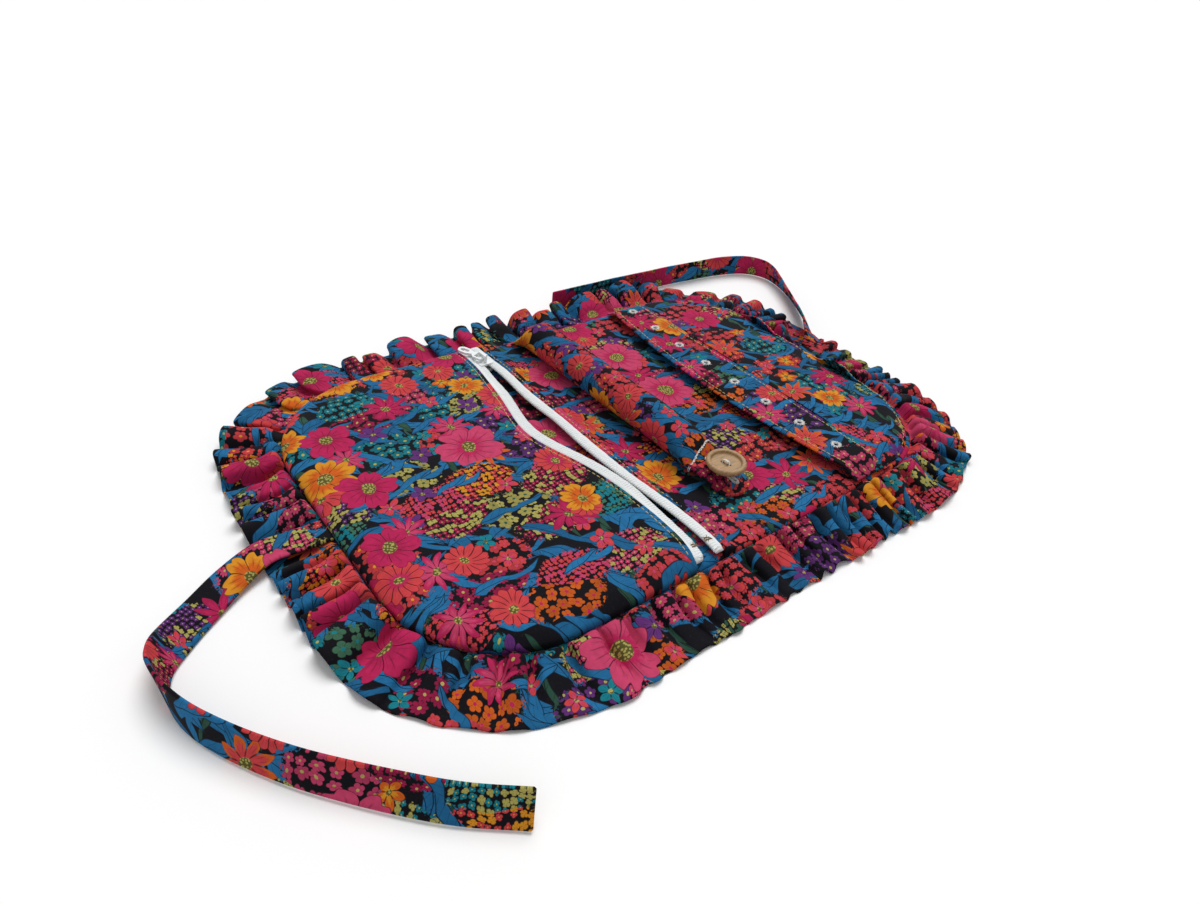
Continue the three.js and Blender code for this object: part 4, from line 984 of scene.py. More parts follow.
def seam_walk(side, step):
    """Points, outward directions and way along the seam, from the spine's near side round one end."""
    straight = HALF_X - CORNER - side * SPINE_MIDDLE
    arc, end = math.pi / 2 * CORNER, 2 * (HALF_Y - CORNER)
    total = 2 * (straight + arc) + end
    s = np.linspace(0, total, int(total / step) + 1)
    turn = (np.clip(s - straight, 0, arc) + np.clip(s - straight - arc - end, 0, arc)) / CORNER
    nx, ny = side * np.sin(turn), -np.cos(turn)
    middle_x = side * (HALF_X - CORNER - np.maximum(straight - s, 0) - np.maximum(s - total + straight, 0))
    middle_y = np.clip(s - straight - arc, 0, end) - end / 2
    return middle_x + CORNER * nx, middle_y + CORNER * ny, nx, ny, s


def fold_section():
    """Sideways place and height across a whole fold, at even steps of its cloth."""
    half = np.array(FOLD_SECTION)
    whole = np.concatenate([half, [(1 - x, z) for x, z in half[-2::-1]]])
    return resample(spline(whole), 0.02)


def fold_marks(total, s, width, seed):
    """Where the folds begin along the seam, and four random numbers in -1 to 1 for each fold."""
    random = np.random.default_rng(seed)
    marks = [0.0]
    while marks[-1] < total:
        marks.append(marks[-1] + np.interp(marks[-1], s, width) * random.uniform(0.5, 1.55))
    return np.array(marks) * total / marks[-1], random.uniform(-1, 1, (4, len(marks)))


def ruffle_side(side):
    """Gathered band along one half of the seam, fold by fold."""
    left = side < 0
    reach = in_mm("ruffle_reach")
    px, py, nx, ny, s = (row[:, None] for row in seam_walk(side, 0.4))
    total = s[-1, 0]
    far, near = smooth((ny - 0.3) / 0.4), smooth((-ny - 0.05) / 0.55)
    end = 1 - far - near
    loose = smooth(s / 14) * smooth((total - s) / 14)

    # Width, height and rim height of the folds in each stretch of the seam
    width = in_mm("fold_pitch") * (near * 0.95 + end * (1.02 if left else 0.7) + far * 1.55)
    if left:
        low = 0.45 * (1 - smooth((px + 82) / 30))
        beside_tie = 0
    else:
        low = 0.6 * smooth((px - 112) / 14) * smooth((ny - 0.35) / 0.2)
        beside_tie = far * smooth((px - 38) / 14) * smooth((142 - px) / 20)
    peak = near * (0.64 if left else 0.8) + end * (0.86 if left else 0.68) + far * (1 - low)
    rim = near * (0.2 if left else 0.42) + end * (0.95 if left else 0.62) + far * 1.1
    marks, chance = fold_marks(total, s[:, 0], width[:, 0], 11 + side)
    middles = (marks[1:] + marks[:-1]) / 2

    # Each place's own fold: its width, height, lean and the like, and where across it the place lies
    t = np.concatenate([[0, 0.02, 0.045, 0.075, 0.11], np.linspace(0.15, 1, 17)])[None, :]
    moved = np.clip(s + 3.4 * noise2(s / 31, t * 1.2, 5 + side) * smooth(t * 2) * loose, 0, total)
    turn = np.interp(moved, marks, np.arange(len(marks)))
    whole = np.interp(moved, middles, marks[1:] - marks[:-1])
    tall, lean, jut, roll = (np.interp(moved, middles, c[:-1]) for c in chance)
    section = fold_section()
    u = np.linspace(0, 1, len(section))
    inside = turn - np.floor(turn)
    soft = (0.25 + 0.45 * t) * (1 - 0.5 * far)
    hill = np.interp(inside, u, section[:, 1]) * (1 - soft) + soft * (0.5 - 0.5 * np.cos(2 * math.pi * inside))
    slide = (np.interp(inside, u, section[:, 0]) - inside) * (1 - soft) * whole

    # Outwards, and flat under the tie's first stretch
    reach_here = reach - (2.5 if left else 8.5) * far + 2.5 * beside_tie + near * 1.5
    out = 0.2 + reach_here * t * (0.962 + 0.05 * hill * jut * t + 0.02 * roll * t * loose)
    x, y = px + nx * out, py + ny * out
    press = 1 - 0.93 * (1 - smooth((tie_distance(x, y, LEFT_TIE[:5] if left else RIGHT_TIE[:6]) - 8.5) / 7))

    # Upwards: folds, small gathers at the seam, crumples and a curled rim
    grow = smooth(t / (0.15 + 0.4 * far)) * (1 + (rim - 1) * smooth((t - 0.25) / 0.75))
    crest = in_mm("ruffle_height") * peak * (1 + (0.3 + 0.1 * far) * tall * loose) * grow * press
    tight = 4.3 * math.pi * turn + 1.3 * noise2(s / 17, t * 0.8, 9)
    gather = (0.8 + 0.4 * noise2(s / 9, 0, 6)) * np.cos(tight) * np.exp(-t * 3.2) * smooth(t / 0.08) * press
    fine = 0.35 * noise2(s / 2.6, t * 2, 3) * np.exp(-t * 6) * smooth(t / 0.05)
    crumple = (0.5 + 0.4 * far) * noise2(s / 6.5, t * 3.2, 23 + side) * smooth(t * 3) * press
    topple = 0.75 * jut * (inside - 0.5) * smooth((t - 0.35) / 0.5)
    curl = crest * (0.16 * roll * smooth((t - 0.6) / 0.4) + topple * hill * (0.35 + 0.65 * far))
    base = 0.5 + 2.9 * (1 - smooth(t / 0.42)) + 3.2 * beside_tie * smooth((t - 0.35) / 0.65)
    z = np.maximum(base + crest * hill + gather + fine + crumple + curl, 0.45)

    # Sideways along the seam: steep walls and leaning folds
    tilt = (0.42 + 0.45 * far) * lean + 0.2 * end * -side - (0.55 * far if left else 0)
    slide = slide * smooth(t / 0.12) * (0.2 + 0.8 * press) + tilt * loose * crest * (hill - 0.35)
    slide = slide * np.where(np.abs(nx) * np.abs(ny) > 1e-6, 1 + out / CORNER, 1.0)
    grid = np.stack([x - ny * side * slide, y + nx * side * slide, z], -1)
    cut = run_of(grid[:, -7])
    uv = np.stack(np.broadcast_arrays(cut[:, None] + 31 * side, t * reach + 260 + 90 * side), -1)
    obj = cloth_sheet("ruffle_band_left" if left else "ruffle_band_right", grid, uv, 0.85, flip=side > 0)
    return obj, float(cut[-1]), reach


# Slip pocket


HEM_FOLD_RISE = 4.2


def hem_folds(y):
    """How strongly the hem of the slip pocket is folded back over itself."""
    return 1.25 * bell(y - 38, 11) + 1.6 * bell(y + 29, 11)


def hem_inset(y):
    """How far the slip pocket's free hem lies inside the seam."""
    return soft_interp(y, [-105, -85, -60, -44, -30, -14, 5, 27, 42, 57, 75, 90, 105],
                       [2.5, 3, 4.5, 4.8, 6.2, 5.2, 5.2, 5.0, 4.6, 4.6, 4, 2.5, 0.6], 5)


def slip_top(x, y):
    inset = np.maximum(seam_inset(x, y) - hem_inset(y), 0)
    full = 4.4 - 1.2 * smooth((x - 120) / 40)
    rise = full * (1 - np.exp(-inset / 3.5)) * (0.4 + 0.6 * smooth((HALF_Y - np.abs(y)) / 14))
    open_hem = smooth((80 - np.abs(y)) / 20)
    gape = 1.4 * bell(y - 42, 10) + 1.8 * bell(y + 30, 10) + 0.8 * bell(y - 8, 10) + 1.2 * bell(y - 70, 7)
    pucker = (gape + 0.5 * np.sin(y * 0.5 + 2 * noise2(x / 30, y / 30, 6))) * np.exp(-inset / 6) * open_hem
    sag = noise2(x / 34, y / 30, 17) * 0.6 * smooth(inset / 12)
    return LINING_TOP + 0.5 + 1.6 * open_hem + rise + pucker + sag


def slip_pocket():
    """The panel up to its fold, the turn back, and the band from the fold out to the hem."""
    ys = slices(-HALF_Y + 0.6, HALF_Y - 0.6, 150)
    start = np.full((150, 1), 97.3)
    stop = np.maximum(end_x(ys, hem_inset(ys))[:, None], start + 2)
    fold = hem_folds(ys)[:, None] * smooth((stop - start - 12) / 12)
    crease = stop - np.minimum(5.0, (stop - start) * 0.2)
    under, over = crease - 0.3 + 2.0 * fold, crease + 0.3 - 2.6 * fold
    back, band = np.linspace(0, 1, 6)[1:-1], np.linspace(0, 1, 16)
    x = np.concatenate([start + (under - start) * np.sin(np.linspace(0, math.pi / 2, 50)),
                        under + (over - under) * back, over + (stop - over) * band ** 1.2], 1)
    climb = np.concatenate([np.zeros(50), back, 1 - band ** 1.6])
    dent = 1.2 * bell(crease - x, 4) * (climb == 0) * fold
    z = slip_top(x, along_slices(ys, x)) + HEM_FOLD_RISE * fold * climb - dent
    x, z = with_lip(x, z - bell(stop - x - 3.2, 0.9) * 0.25, 1)
    y = along_slices(ys, x)
    uv = np.stack([run_across(x, z) + 700, y + 40], -1)
    return cloth_sheet("slip_pocket_cloth", np.stack([x, y, z], -1), uv, in_mm("cloth"), flip=True)


# Earring strip


def strip_width(y):
    return 32 - 9.5 * np.abs(y / STRIP_END) ** 2.2


def strip_height(x, y):
    """Middle of the strip's cloth: its rise from the seams, quilted edges, slow waves and drooping free edge."""
    inside = np.clip(y, -STRIP_END, STRIP_END)
    share = (x - STRIP_RIGHT) / strip_width(inside) + 1
    edge = np.minimum(share, 1 - share) * strip_width(y)
    rise = 4.95 * np.interp(STRIP_END - np.abs(inside), [0, 3, 6, 9, 16], [0, 0.36, 0.78, 0.98, 1])
    quilt = 0.28 * (smooth(edge / 2.6) - 1) + 0.22 * (1 - bell(edge - 2.6, 0.8))
    wave = 0.35 * noise2(x / 22, y / 19, 21) * smooth(np.abs(y) / 12)
    droop = -1.1 * (1 - share) ** 2 * (0.5 + 0.5 * np.cos(y / 30.0)) * smooth((STRIP_END - np.abs(y)) / 30)
    return POCKET_BASE + 0.85 + rise + quilt + wave + droop


def earring_strip(end):
    """Half of the earring strip, from its middle to the seam."""
    ys = np.linspace(0, end * (STRIP_END + 0.8), 70)
    left = STRIP_RIGHT - strip_width(np.clip(ys, -STRIP_END, STRIP_END))
    x = between(left, np.full_like(ys, STRIP_RIGHT), np.linspace(0, 1, 20))
    y = along_slices(ys, x)
    grid, uv = np.stack([x, y, strip_height(x, y)], -1), np.stack([x * 0.97 + 1010, y + 77], -1)
    return cloth_sheet("strip_far" if end > 0 else "strip_near", grid, uv, 1.2, flip=end > 0)


def strip_line(x, y):
    """Height of the strip's upper side."""
    return strip_height(x, y) + 0.6


def eyelet_places():
    count = bpy.context.scene.pouch_hardware.eyelets
    first, last = HALF_Y - 15.5, 24 - HALF_Y
    for y in first - np.arange(count) * (first - last) / (count - 1):
        yield STRIP_RIGHT - strip_width(y) / 2, y


def eyelet(n, x, y):
    """Thread whipped round a small hole, with a few loose ends."""
    z = strip_line(x, y)
    rng = np.random.default_rng(30 + n)
    tubes = []

    def circling(r, turn, height):
        return np.stack([x + r * np.cos(turn), y + r * np.sin(turn), z + height], -1)

    for k in range(34):
        a = 2 * math.pi * k / 34 + rng.uniform(-0.05, 0.05)
        inner, outer = 1.5 + rng.uniform(-0.08, 0.1), 2.85 + rng.uniform(-0.25, 0.4)
        r = np.array([inner, inner + 0.12, (inner + outer) / 2, outer - 0.15, outer])
        lift = np.array([-0.5, 0.2, 0.3, 0.14, -0.25]) + rng.uniform(-0.04, 0.08)
        path = circling(r, a + np.linspace(0, 0.1, 5) * rng.uniform(-1, 1), lift)
        tubes.append(tube(path, [0.16, 0.2, 0.2, 0.2, 0.1], 5))
    r = np.linspace(2.4, 3.9, 6)
    for k in range(3):
        tubes.append(tube(circling(r, rng.uniform(0, 6.28) + (r - 2.4) * 0.4, 0.3 - (r - 2.4) * 0.08), 0.07, 4))
    return tubes_object(f"eyelet_thread_{n + 1}", tubes, "white")


# Ring bar and its tab


def bar_point(x, along, z):
    """From the ring bar's own place: x across, along from its far end, z over the lining."""
    c, s = math.cos(BAR_SLANT), math.sin(BAR_SLANT)
    out = np.stack([x * c + along * s, x * s - along * c, z + 0 * x], -1)
    return out + np.array(BAR_FAR)


def bar_section(along):
    return (np.interp(along, BAR_PLACES, row) for row in (BAR_HALF_WIDTH, BAR_HALF_HEIGHT, BAR_MIDDLE))


def ring_bar():
    stop = BAR_LENGTH + 1.5
    along = np.concatenate([np.linspace(-7, 14, 24), np.linspace(15, 136, 60), np.linspace(137, stop, 34)])
    a, u = np.meshgrid(along, np.linspace(0, 2 * math.pi, 56, endpoint=False), indexing="ij")
    half_width, half_height, middle = bar_section(a)
    cos, sin = np.cos(u), np.sin(u)
    fold = 0.35 * noise2(a / 17, u, 3) + 0.22 * np.sin(a * 0.42 + 2 * cos + 1.5 * sin) * smooth((a - 100) / 40)
    pleat = np.sin(u * 7 + 0.4 * noise2(a / 9, u, 4)) * (bell(a - 152, 7) * 0.8 + smooth((9 - a) / 12) * 0.6)
    crease = -1.3 * bell(a - 152.2 + 0.37 * (half_width * cos + 9), 1.5)
    grow = fold * smooth((150 - a) / 20) + (pleat + crease) * (sin > -0.3)
    z = middle + (half_height + grow * np.maximum(half_height / 10, 0.35)) * sin
    points = bar_point((half_width + grow * 0.6) * cos, a, np.where(a > 2, np.maximum(z, 0.15), z))

    # Cloth places, carried on past the join of each ring, and a cap at both ends
    flat = np.stack([u * 10 + 1400, a + 20], -1)
    rows, columns = points.shape[:2]
    faces = grid_faces(rows, columns, wrap=True)
    corner_uv = flat.reshape(-1, 2)[faces]
    wrapped = (faces % columns == 0) & ((faces[:, :1] % columns) == columns - 1)
    corner_uv[..., 0] += wrapped * 2 * math.pi * 10
    caps = [list(range(columns))[::-1], [(rows - 1) * columns + k for k in range(columns)]]
    uv = np.concatenate([corner_uv.reshape(-1, 2), flat[0, ::-1], flat[-1]])
    return mesh_object("ring_bar_cloth", points.reshape(-1, 3), [*faces, *caps], uv, "print")


def ring_bar_stitch():
    """Two twisted white threads slanting across the flattened end."""
    tubes = []
    rng = np.random.default_rng(12)
    across = np.linspace(-10.8, 10.4, 90)
    along = 152.2 - 0.37 * (across + 9)
    half_width, half_height, middle = bar_section(along)
    z = middle + half_height * np.sqrt(np.maximum(1 - (across / half_width) ** 2, 0)) - 0.15
    run = np.linspace(0, 1, 8)
    for strand in (0, 1):
        turn = across * 1.9 + math.pi * strand
        sway = 0.34 * np.sin(turn) + 0.2 * np.sin(across * 0.7 + strand)
        path = bar_point(across, along + sway, z + 0.28 * np.cos(turn))
        tubes.append(tube(path, 0.33 * (0.8 + 0.2 * np.sin(across * 2.3 + strand)), 7))
        for end, sign in ((path[0], -1), (path[-1], 1)):
            bend = rng.uniform(-1, 1)
            tail = end + np.stack([sign * 2.4 * run, bend * run ** 1.5 - 0.6 * run, -1.6 * run ** 2], -1)
            tubes.append(tube(tail, 0.15 * (1.2 - run), 5))
    return tubes_object("end_stitch_thread", tubes, "white")


def tab_point(x, out):
    """From the tab's own place: x across, out from the ring bar's end."""
    fall = 7.2 * smooth(out / 26) + 0.75 * noise2(x / 5, out / 7, 5) * smooth(out / 5)
    curl = 0.018 * np.abs(x) ** 1.8 * smooth(out / 8)
    c, s = math.cos(TAB_YAW), math.sin(TAB_YAW)
    along = BAR_LENGTH - 0.5 + out * c - x * s * smooth(out / 6)
    return bar_point(x * c + out * s, along, np.maximum(7.9 - fall - curl, 0.9))


def ring_bar_tab():
    """Round-ended cloth tab with a buttonhole along its middle."""
    outs = np.concatenate([np.linspace(-1.5, 1.8, 5), np.linspace(2.4, 22.6, 24), np.linspace(23.1, 25.4, 6)])
    outs = outs[:, None]
    across = np.concatenate([np.linspace(-1, -0.1, 12), np.linspace(0.1, 1, 12)])
    round_end = np.sqrt(np.maximum(12.0 ** 2 - np.maximum(outs - 13.4, 0) ** 2, 1.0))
    x = np.where(outs < 13, 12.2 - 0.2 * outs / 13, round_end) * across
    x[:, 11], x[:, 12] = -0.75, 0.75
    out = np.broadcast_to(outs, x.shape)
    rows, columns = x.shape
    faces = [f for f in grid_faces(rows, columns)[:, ::-1]
             if not (f.min() % columns == 11 and 4 < f.min() // columns < 23)]
    uv = np.stack([x + 1800, out + 55], -1).reshape(-1, 2)[np.array(faces)].reshape(-1, 2)
    obj = mesh_object("ring_bar_tab_cloth", tab_point(x, out).reshape(-1, 3), faces, uv, "print")
    shell = obj.modifiers.new("layers", "SOLIDIFY")
    shell.thickness, shell.offset = 0.0017, 0
    soften = obj.modifiers.new("soften", "SUBSURF")
    soften.levels = soften.render_levels = 1
    return obj


def buttonhole():
    """Stitches along both sides and round both ends of the buttonhole, and a few loose threads."""
    tubes = []
    rng = np.random.default_rng(5)

    def stitch(path):
        path[:, 2] += np.array([0.2, 1.15, 1.2, 0.8])
        tubes.append(tube(path, 0.24, 5))

    for sign in (-1, 1):
        for out in 2.2 + 16.2 * np.arange(36) / 35:
            inner, outer = 0.75, 2.0 + rng.uniform(-0.15, 0.15)
            x = sign * np.array([inner, inner + 0.2, (inner + outer) / 2, outer])
            stitch(tab_point(x, np.full(4, out) + rng.uniform(-0.1, 0.1)))
    r = np.array([0.75, 0.95, 1.5, 2.1])
    for centre, low in ((2.2, math.pi), (18.4, 0)):
        for a in low + math.pi * np.arange(9) / 8:
            stitch(tab_point(r * math.cos(a), centre + r * math.sin(a)))
    share = np.linspace(0, 1, 9)
    for k in range(7):
        turn, bow = rng.uniform(-1.9, 0.4), rng.uniform(-0.5, 0.5)
        r, a = 1.6 + share * rng.uniform(1.8, 3.6), turn + bow * share ** 2
        path = tab_point(r * np.cos(a), 16.5 + r * np.sin(a))
        path[:, 2] += 1.0 + 0.9 * np.sin(share * math.pi) * rng.uniform(0.2, 1.0)
        tubes.append(tube(path, 0.12 * (1 - 0.5 * share), 5))
    return tubes_object("buttonhole_thread", tubes, "white")


# Button


def seated(obj):
    """Turns a piece made about the button's own axis and moves it to the button's place."""
    low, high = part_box("button")
    centre = Vector(((low.x + high.x) / 2, (low.y + high.y) / 2, low.z))
    yaw = math.radians(90) + TAB_YAW + BAR_SLANT
    obj.data.transform(Matrix.Translation(centre) @ Matrix.Rotation(yaw, 4, "Z"))
    return obj


def button_piece():
    """Turned wooden button with two holes."""
    turn = np.linspace(0, 2 * math.pi, 72, endpoint=False)
    line = spline(BUTTON_PROFILE, 3)
    r, z = line[:, :1], line[:, 1:]
    points = np.stack([r * np.cos(turn), r * np.sin(turn), z + 0 * turn], -1)
    faces = grid_faces(*points.shape[:2], wrap=True)
    obj = mesh_object("wooden_button", points.reshape(-1, 3), faces, None, "wood", True)
    for x in (-0.0019, 0.0019):
        rods = drills([(x, 0, 0)], 0.001, 0.012, 24)
        drilled(obj, rods)
        bpy.data.objects.remove(rods)
    return seated(obj)


def button_thread():
    """Strands through both holes, a few loose ends and the shank of thread under the button."""
    rng = np.random.default_rng(8)
    tubes = []
    s = np.linspace(-1, 1, 12)
    for k in range(9):
        side = rng.uniform(-0.55, 0.55)
        z = 2.75 + 0.75 * (1 - s ** 4) + rng.uniform(-0.1, 0.25)
        z[0] = z[-1] = 1.6
        tubes.append(tube(np.stack([1.9 * s, side + rng.uniform(-0.2, 0.2) * s, z], -1), 0.26, 5))
    for k in range(5):
        a = rng.uniform(0, 6.28)
        r = np.linspace(0.3, rng.uniform(1.4, 2.3), 7)
        tubes.append(tube(np.stack([r * np.cos(a), r * np.sin(a), 3.5 + 0.3 * np.sin(r * 2)], -1), 0.1, 4))
    drift = np.linspace(0, 0.02, 8)
    shank = np.stack([drift, 0.001 + drift, np.linspace(1.2, -8.6, 8) + drift], -1)
    return seated(tubes_object("button_thread_strands", [*tubes, tube(shank, 0.75, 8)], "white"))


# Ties


def tie(name, route, seed):
    """A flat folded strap along its route; returns the piece and its centre line in millimetres."""
    step, half, thick = 2.0, TIE_WIDTH / 2, 0.65
    line = resample(spline(route, 10), step)
    lean = np.radians(line[:, 3:])
    centre = line[:, :3].copy()
    centre[:, 2:] += half * np.abs(np.sin(lean)) + thick * np.abs(np.cos(lean))
    ahead = unit(np.gradient(centre, axis=0))
    side = unit(np.stack([ahead[:, 1], -ahead[:, 0], 0 * ahead[:, 0]], -1))
    across = side * np.cos(lean) + np.cross(side, ahead) * np.sin(lean)
    through = np.cross(ahead, across)
    w = np.linspace(-1, 1, 13)[None]
    run = np.arange(len(line))[:, None] * step
    cup = 0.5 * w ** 2 * np.sin(run / 37.0 + seed) + 0.25 * noise2(run / 14, w * 0.8, seed)
    grid = centre[:, None] + across[:, None] * (w * (half - 0.5))[..., None] + through[:, None] * cup[..., None]
    grid[..., 2] = np.maximum(grid[..., 2], 0.75)
    uv = np.stack(np.broadcast_arrays(run + 100 * seed, w * half + 333 * seed), -1)
    return cloth_sheet(name, grid, uv, 1.3), centre


# Operators


def replacing(body, *pieces):
    """Hides the node that each piece replaces and lets the pieces ride on the same body; each entry holds the
    piece, its node and its slot, and the slot is not used.
    """
    for obj, node, slot in pieces:
        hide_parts(node)
        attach(obj, body)


def bend_with_fold(obj, side):
    """Bakes a piece's placement into its mesh, the same way for the left and the right side."""
    if side < 0:
        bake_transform(obj)
    else:
        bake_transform(obj)


class POUCH_OT_pads(bpy.types.Operator):
    """Build the two halves of the quilted panel"""

    bl_idname = "pouch.pads"
    bl_label = "Quilted panel"

    def execute(self, context):
        for side, stretches in ((-1, ("left", "spine")), (1, ("right",))):
            obj = pad_side(side)
            layers = ("cover", "wadding", "lining")
            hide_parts(*(f"{layer}_{name}" for name in stretches for layer in layers))
            bend_with_fold(obj, side)
        return {"FINISHED"}


class POUCH_OT_ruffle(bpy.types.Operator):
    """Build the gathered ruffle round the seam"""

    bl_idname = "pouch.ruffle"
    bl_label = "Ruffle"

    def execute(self, context):
        for side, pad, nodes in ((-1, "pad_left", ("ruffle_left", "ruffle_spine_near")),
                                 (1, "pad_right", ("ruffle_right", "ruffle_spine_far"))):
            obj, long, wide = ruffle_side(side)
            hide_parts(*nodes)
            round(long / 1000, 3)
            round(wide / 1000, 3)
            bend_with_fold(obj, side)
        return {"FINISHED"}


class POUCH_OT_zip_pocket(bpy.types.Operator):
    """Build the puffed zip pocket, its facing and their topstitching"""

    bl_idname = "pouch.zip_pocket"
    bl_label = "Zip pocket"

    def execute(self, context):
        replacing("left_half", (zip_pocket_front(), "zip_pocket_front", "print_cloth"),
                  (zip_facing(), "zip_pocket_facing", "print_cloth"))
        ys = np.linspace(100, -103, 160)
        for name, side, seed in (("topstitch_zip_left", -1, 2), ("topstitch_zip_right", 1, 3)):
            sewn = stitches(name, line_on(pocket_top, mouth_x(ys, side) + side * HEM_STITCH, ys, -0.3), seed)
            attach(sewn, "left_half")
        return {"FINISHED"}


class POUCH_OT_zip(bpy.types.Operator):
    """Build the open zip: tapes, coils, bar tacks, slider and pull"""

    bl_idname = "pouch.zip"
    bl_label = "Zip"

    def execute(self, context):
        for make, label, node, slot in ((zip_tape, "zip_tape_cloth", "zip_tape", "zip_tape"),
                                        (zip_coil, "zip_coil_helix", "zip_coil", "zip_coil"),
                                        (bar_tack, "bar_tack_thread", "bar_tack", "gold_thread")):
            for name, side in (("left", -1), ("right", 1)):
                replacing("left_half", (make(f"{label}_{name}", side), f"{node}_{name}", slot))
        for node in ("zip_slider", "zip_pull"):
            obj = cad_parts[node]
            obj.data.materials.clear()
            obj.data.materials.append(material_of("enamel"))
            soften = obj.modifiers.new("rounded edges", "BEVEL")
            soften.width, soften.segments, soften.limit_method = 0.0003, 3, "ANGLE"
            obj.data.polygons.foreach_set("use_smooth", [True] * len(obj.data.polygons))
        return {"FINISHED"}


class POUCH_OT_ring_bar(bpy.types.Operator):
    """Build the padded ring bar, its tab and buttonhole"""

    bl_idname = "pouch.ring_bar"
    bl_label = "Ring bar"

    def execute(self, context):
        bar = ring_bar()
        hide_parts("ring_bar_cover", "ring_bar_filling")
        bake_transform(bar)
        replacing("ring_bar", (ring_bar_stitch(), "ring_bar_end_stitch", "white_thread"),
                  (ring_bar_tab(), "ring_bar_tab", "print_cloth"),
                  (buttonhole(), "buttonhole_stitch", "white_thread"))
        return {"FINISHED"}


class POUCH_OT_button(bpy.types.Operator):
    """Build the wooden button and its thread"""

    bl_idname = "pouch.button"
    bl_label = "Button"

    def execute(self, context):
        replacing("spine", (button_piece(), "button", "wood"),
                  (button_thread(), "button_thread", "white_thread"))
        return {"FINISHED"}


class POUCH_OT_slip_pocket(bpy.types.Operator):
    """Build the slip pocket and its hem stitching"""

    bl_idname = "pouch.slip_pocket"
    bl_label = "Slip pocket"

    def execute(self, context):
        replacing("right_half", (slip_pocket(), "slip_pocket", "print_cloth"))
        ys = np.linspace(88, -98, 200)
        line = line_on(slip_top, end_x(ys, hem_inset(ys)) - 3.2, ys, -0.1)
        line[:, 2] += HEM_FOLD_RISE * hem_folds(ys) * 0.66
        hem = stitches("topstitch_hem", line, 6)
        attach(hem, "right_half")
        return {"FINISHED"}


class POUCH_OT_earring_strip(bpy.types.Operator):
    """Build the earring strip with its eyelets and topstitching"""

    bl_idname = "pouch.earring_strip"
    bl_label = "Earring strip"

    def execute(self, context):
        punch = drills([(x / 1000, y / 1000, 0.012) for x, y in eyelet_places()], 0.0015, 0.02, 20)
        for end, name in ((1, "far"), (-1, "near")):
            strip = earring_strip(end)
            drilled(strip, punch)
            if end > 0:
                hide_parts("earring_strip")
            ys = np.linspace(0.5, end * 101.5, 90)
            rows = {"left": STRIP_RIGHT - strip_width(ys) + 2.6, "right": np.full_like(ys, STRIP_RIGHT - 2.6)}
            sewn = [stitches(f"topstitch_strip_{edge}_{name}", line_on(strip_line, xs, ys, 0), 7)
                    for edge, xs in rows.items()]
            for obj, slot in ((strip, "print_cloth"), *((row, "gold_thread") for row in sewn)):
                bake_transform(obj)
        bpy.data.objects.remove(punch)
        for n, (x, y) in enumerate(eyelet_places()):
            replacing("earring_strip", (eyelet(n, x, y), f"eyelet_{n + 1}", "white_thread"))
        return {"FINISHED"}


class POUCH_OT_ties(bpy.types.Operator):
    """Build the two flat ties"""

    bl_idname = "pouch.ties"
    bl_label = "Ties"

    def execute(self, context):
        for side, route, seed in (("left", LEFT_TIE, 1.0), ("right", RIGHT_TIE, 2.0)):
            obj, centre = tie(f"tie_strap_{side}", route, seed)
            tuple(centre[0] / 1000)
            (centre / 1000).tolist()
            replacing(f"{side}_half", (obj, f"tie_{side}", "print_cloth"))
        return {"FINISHED"}


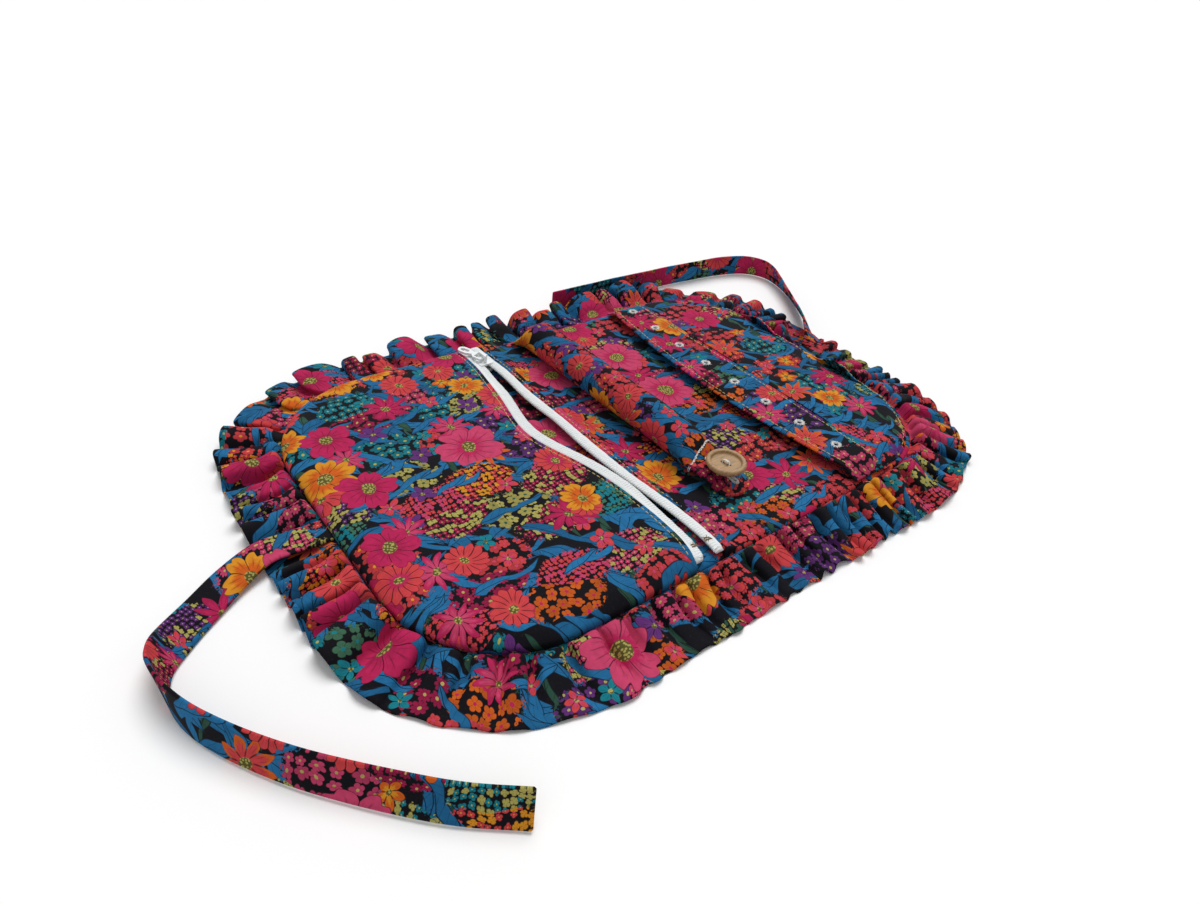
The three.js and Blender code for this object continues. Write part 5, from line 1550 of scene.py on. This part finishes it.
class POUCH_OT_stage(bpy.types.Operator):
    """Build the camera, floor, lamps and surrounding light"""

    bl_idname = "pouch.stage"
    bl_label = "Stage"

    def execute(self, context):
        scene, stage = context.scene, context.scene.pouch_stage

        # Camera: turn, height and roll of its view, as solved from the photo
        turn, climb, roll = math.radians(-41.267), math.radians(36.462), math.radians(6.258)
        back = Vector((math.sin(turn) * math.cos(climb), -math.cos(turn) * math.cos(climb), math.sin(climb)))
        right = (-back).cross(Vector((0, 0, 1))).normalized()
        up = right.cross(-back)
        axes = right * math.cos(roll) + up * math.sin(roll), up * math.cos(roll) - right * math.sin(roll), back
        data = bpy.data.cameras.new("camera")
        data.sensor_width, data.lens = 36.0, 24.0
        data.clip_start, data.clip_end = 0.01, 20
        camera = linked("camera", data)
        place = Matrix.Translation((-0.24234, -0.26435, 0.25098))
        camera.matrix_world = place @ Matrix(axes).transposed().to_4x4()
        scene.camera = camera

        far = 4000
        corners = [(-far, -far, 0), (far, -far, 0), (far, far, 0), (-far, far, 0)]
        floor = mesh_object("floor", corners, [(0, 1, 2, 3)])
        material, g = new_material("pale table")
        g.surface(Base_Color=(*stage.floor, 1), Roughness=0.9, Specular_IOR_Level=0.1)
        floor.data.materials.append(material)

        lamps = ("key", (0.42, 0.5, 1.2), 40, stage.key), ("fill", (-0.7, -0.6, 1.0), 70, stage.key * 0.16)
        for name, place, spread, power in lamps:
            lamp = bpy.data.lights.new(name, "SUN")
            lamp.angle, lamp.energy = math.radians(spread), power
            obj = linked(name, lamp)
            obj.location = place
            obj.rotation_euler = (-Vector(place)).to_track_quat("-Z", "Y").to_euler()

        # White surroundings for the eye and in reflections, softer ones as light
        world = bpy.data.worlds.new("studio")
        world.use_nodes = True
        scene.world = world
        g = Graph(world.node_tree)
        plain = world.node_tree.nodes["Background"]
        g.put(plain.inputs[0], (1, 1, 1, 1))
        g.put(plain.inputs[1], stage.ambient)
        white = g.node("Background", {0: (1, 1, 1, 1), 1: 1.0})
        ray = g.node("LightPath", {})
        seen = ray["Is Camera Ray"].math("MAXIMUM", ray["Is Glossy Ray"])
        seen = seen.math("MAXIMUM", ray["Is Transmission Ray"])
        both = g.node("MixShader", {0: seen, 1: Outputs(g, plain)[0], 2: white[0]})
        g.put(world.node_tree.nodes["World Output"].inputs[0], both[0])
        scene.view_settings.view_transform = "Standard"
        return {"FINISHED"}


class POUCH_PT_panel(bpy.types.Panel):
    """Settings and builders of the pouch"""

    bl_idname = "POUCH_PT_panel"
    bl_label = "Jewelry pouch"
    bl_space_type = "VIEW_3D"
    bl_region_type = "UI"
    bl_category = "Pouch"

    def draw(self, context):
        for group in SETTINGS:
            box = self.layout.box()
            settings = getattr(context.scene, group)
            for key in settings.__annotations__:
                box.prop(settings, key)
        for operator in OPERATORS:
            self.layout.operator(operator.bl_idname)


SETTINGS = {"pouch_print": PouchPrintSettings, "pouch_cloth": PouchClothSettings,
            "pouch_hardware": PouchHardwareSettings, "pouch_stage": PouchStageSettings}
OPERATORS = [POUCH_OT_stage, POUCH_OT_ties, POUCH_OT_pads, POUCH_OT_ruffle, POUCH_OT_zip_pocket, POUCH_OT_zip,
             POUCH_OT_ring_bar, POUCH_OT_button, POUCH_OT_slip_pocket, POUCH_OT_earring_strip]


def register():
    for cls in (*SETTINGS.values(), *OPERATORS, POUCH_PT_panel):
        bpy.utils.register_class(cls)
    for name, cls in SETTINGS.items():
        setattr(bpy.types.Scene, name, PointerProperty(type=cls))


def unregister():
    for name in SETTINGS:
        delattr(bpy.types.Scene, name)
    for cls in (POUCH_PT_panel, *reversed(OPERATORS), *reversed(SETTINGS.values())):
        bpy.utils.unregister_class(cls)


def main():
    register()
    for operator in OPERATORS:
        group, name = operator.bl_idname.split(".")
        getattr(getattr(bpy.ops, group), name)()


if __name__ == "__main__":
    main()
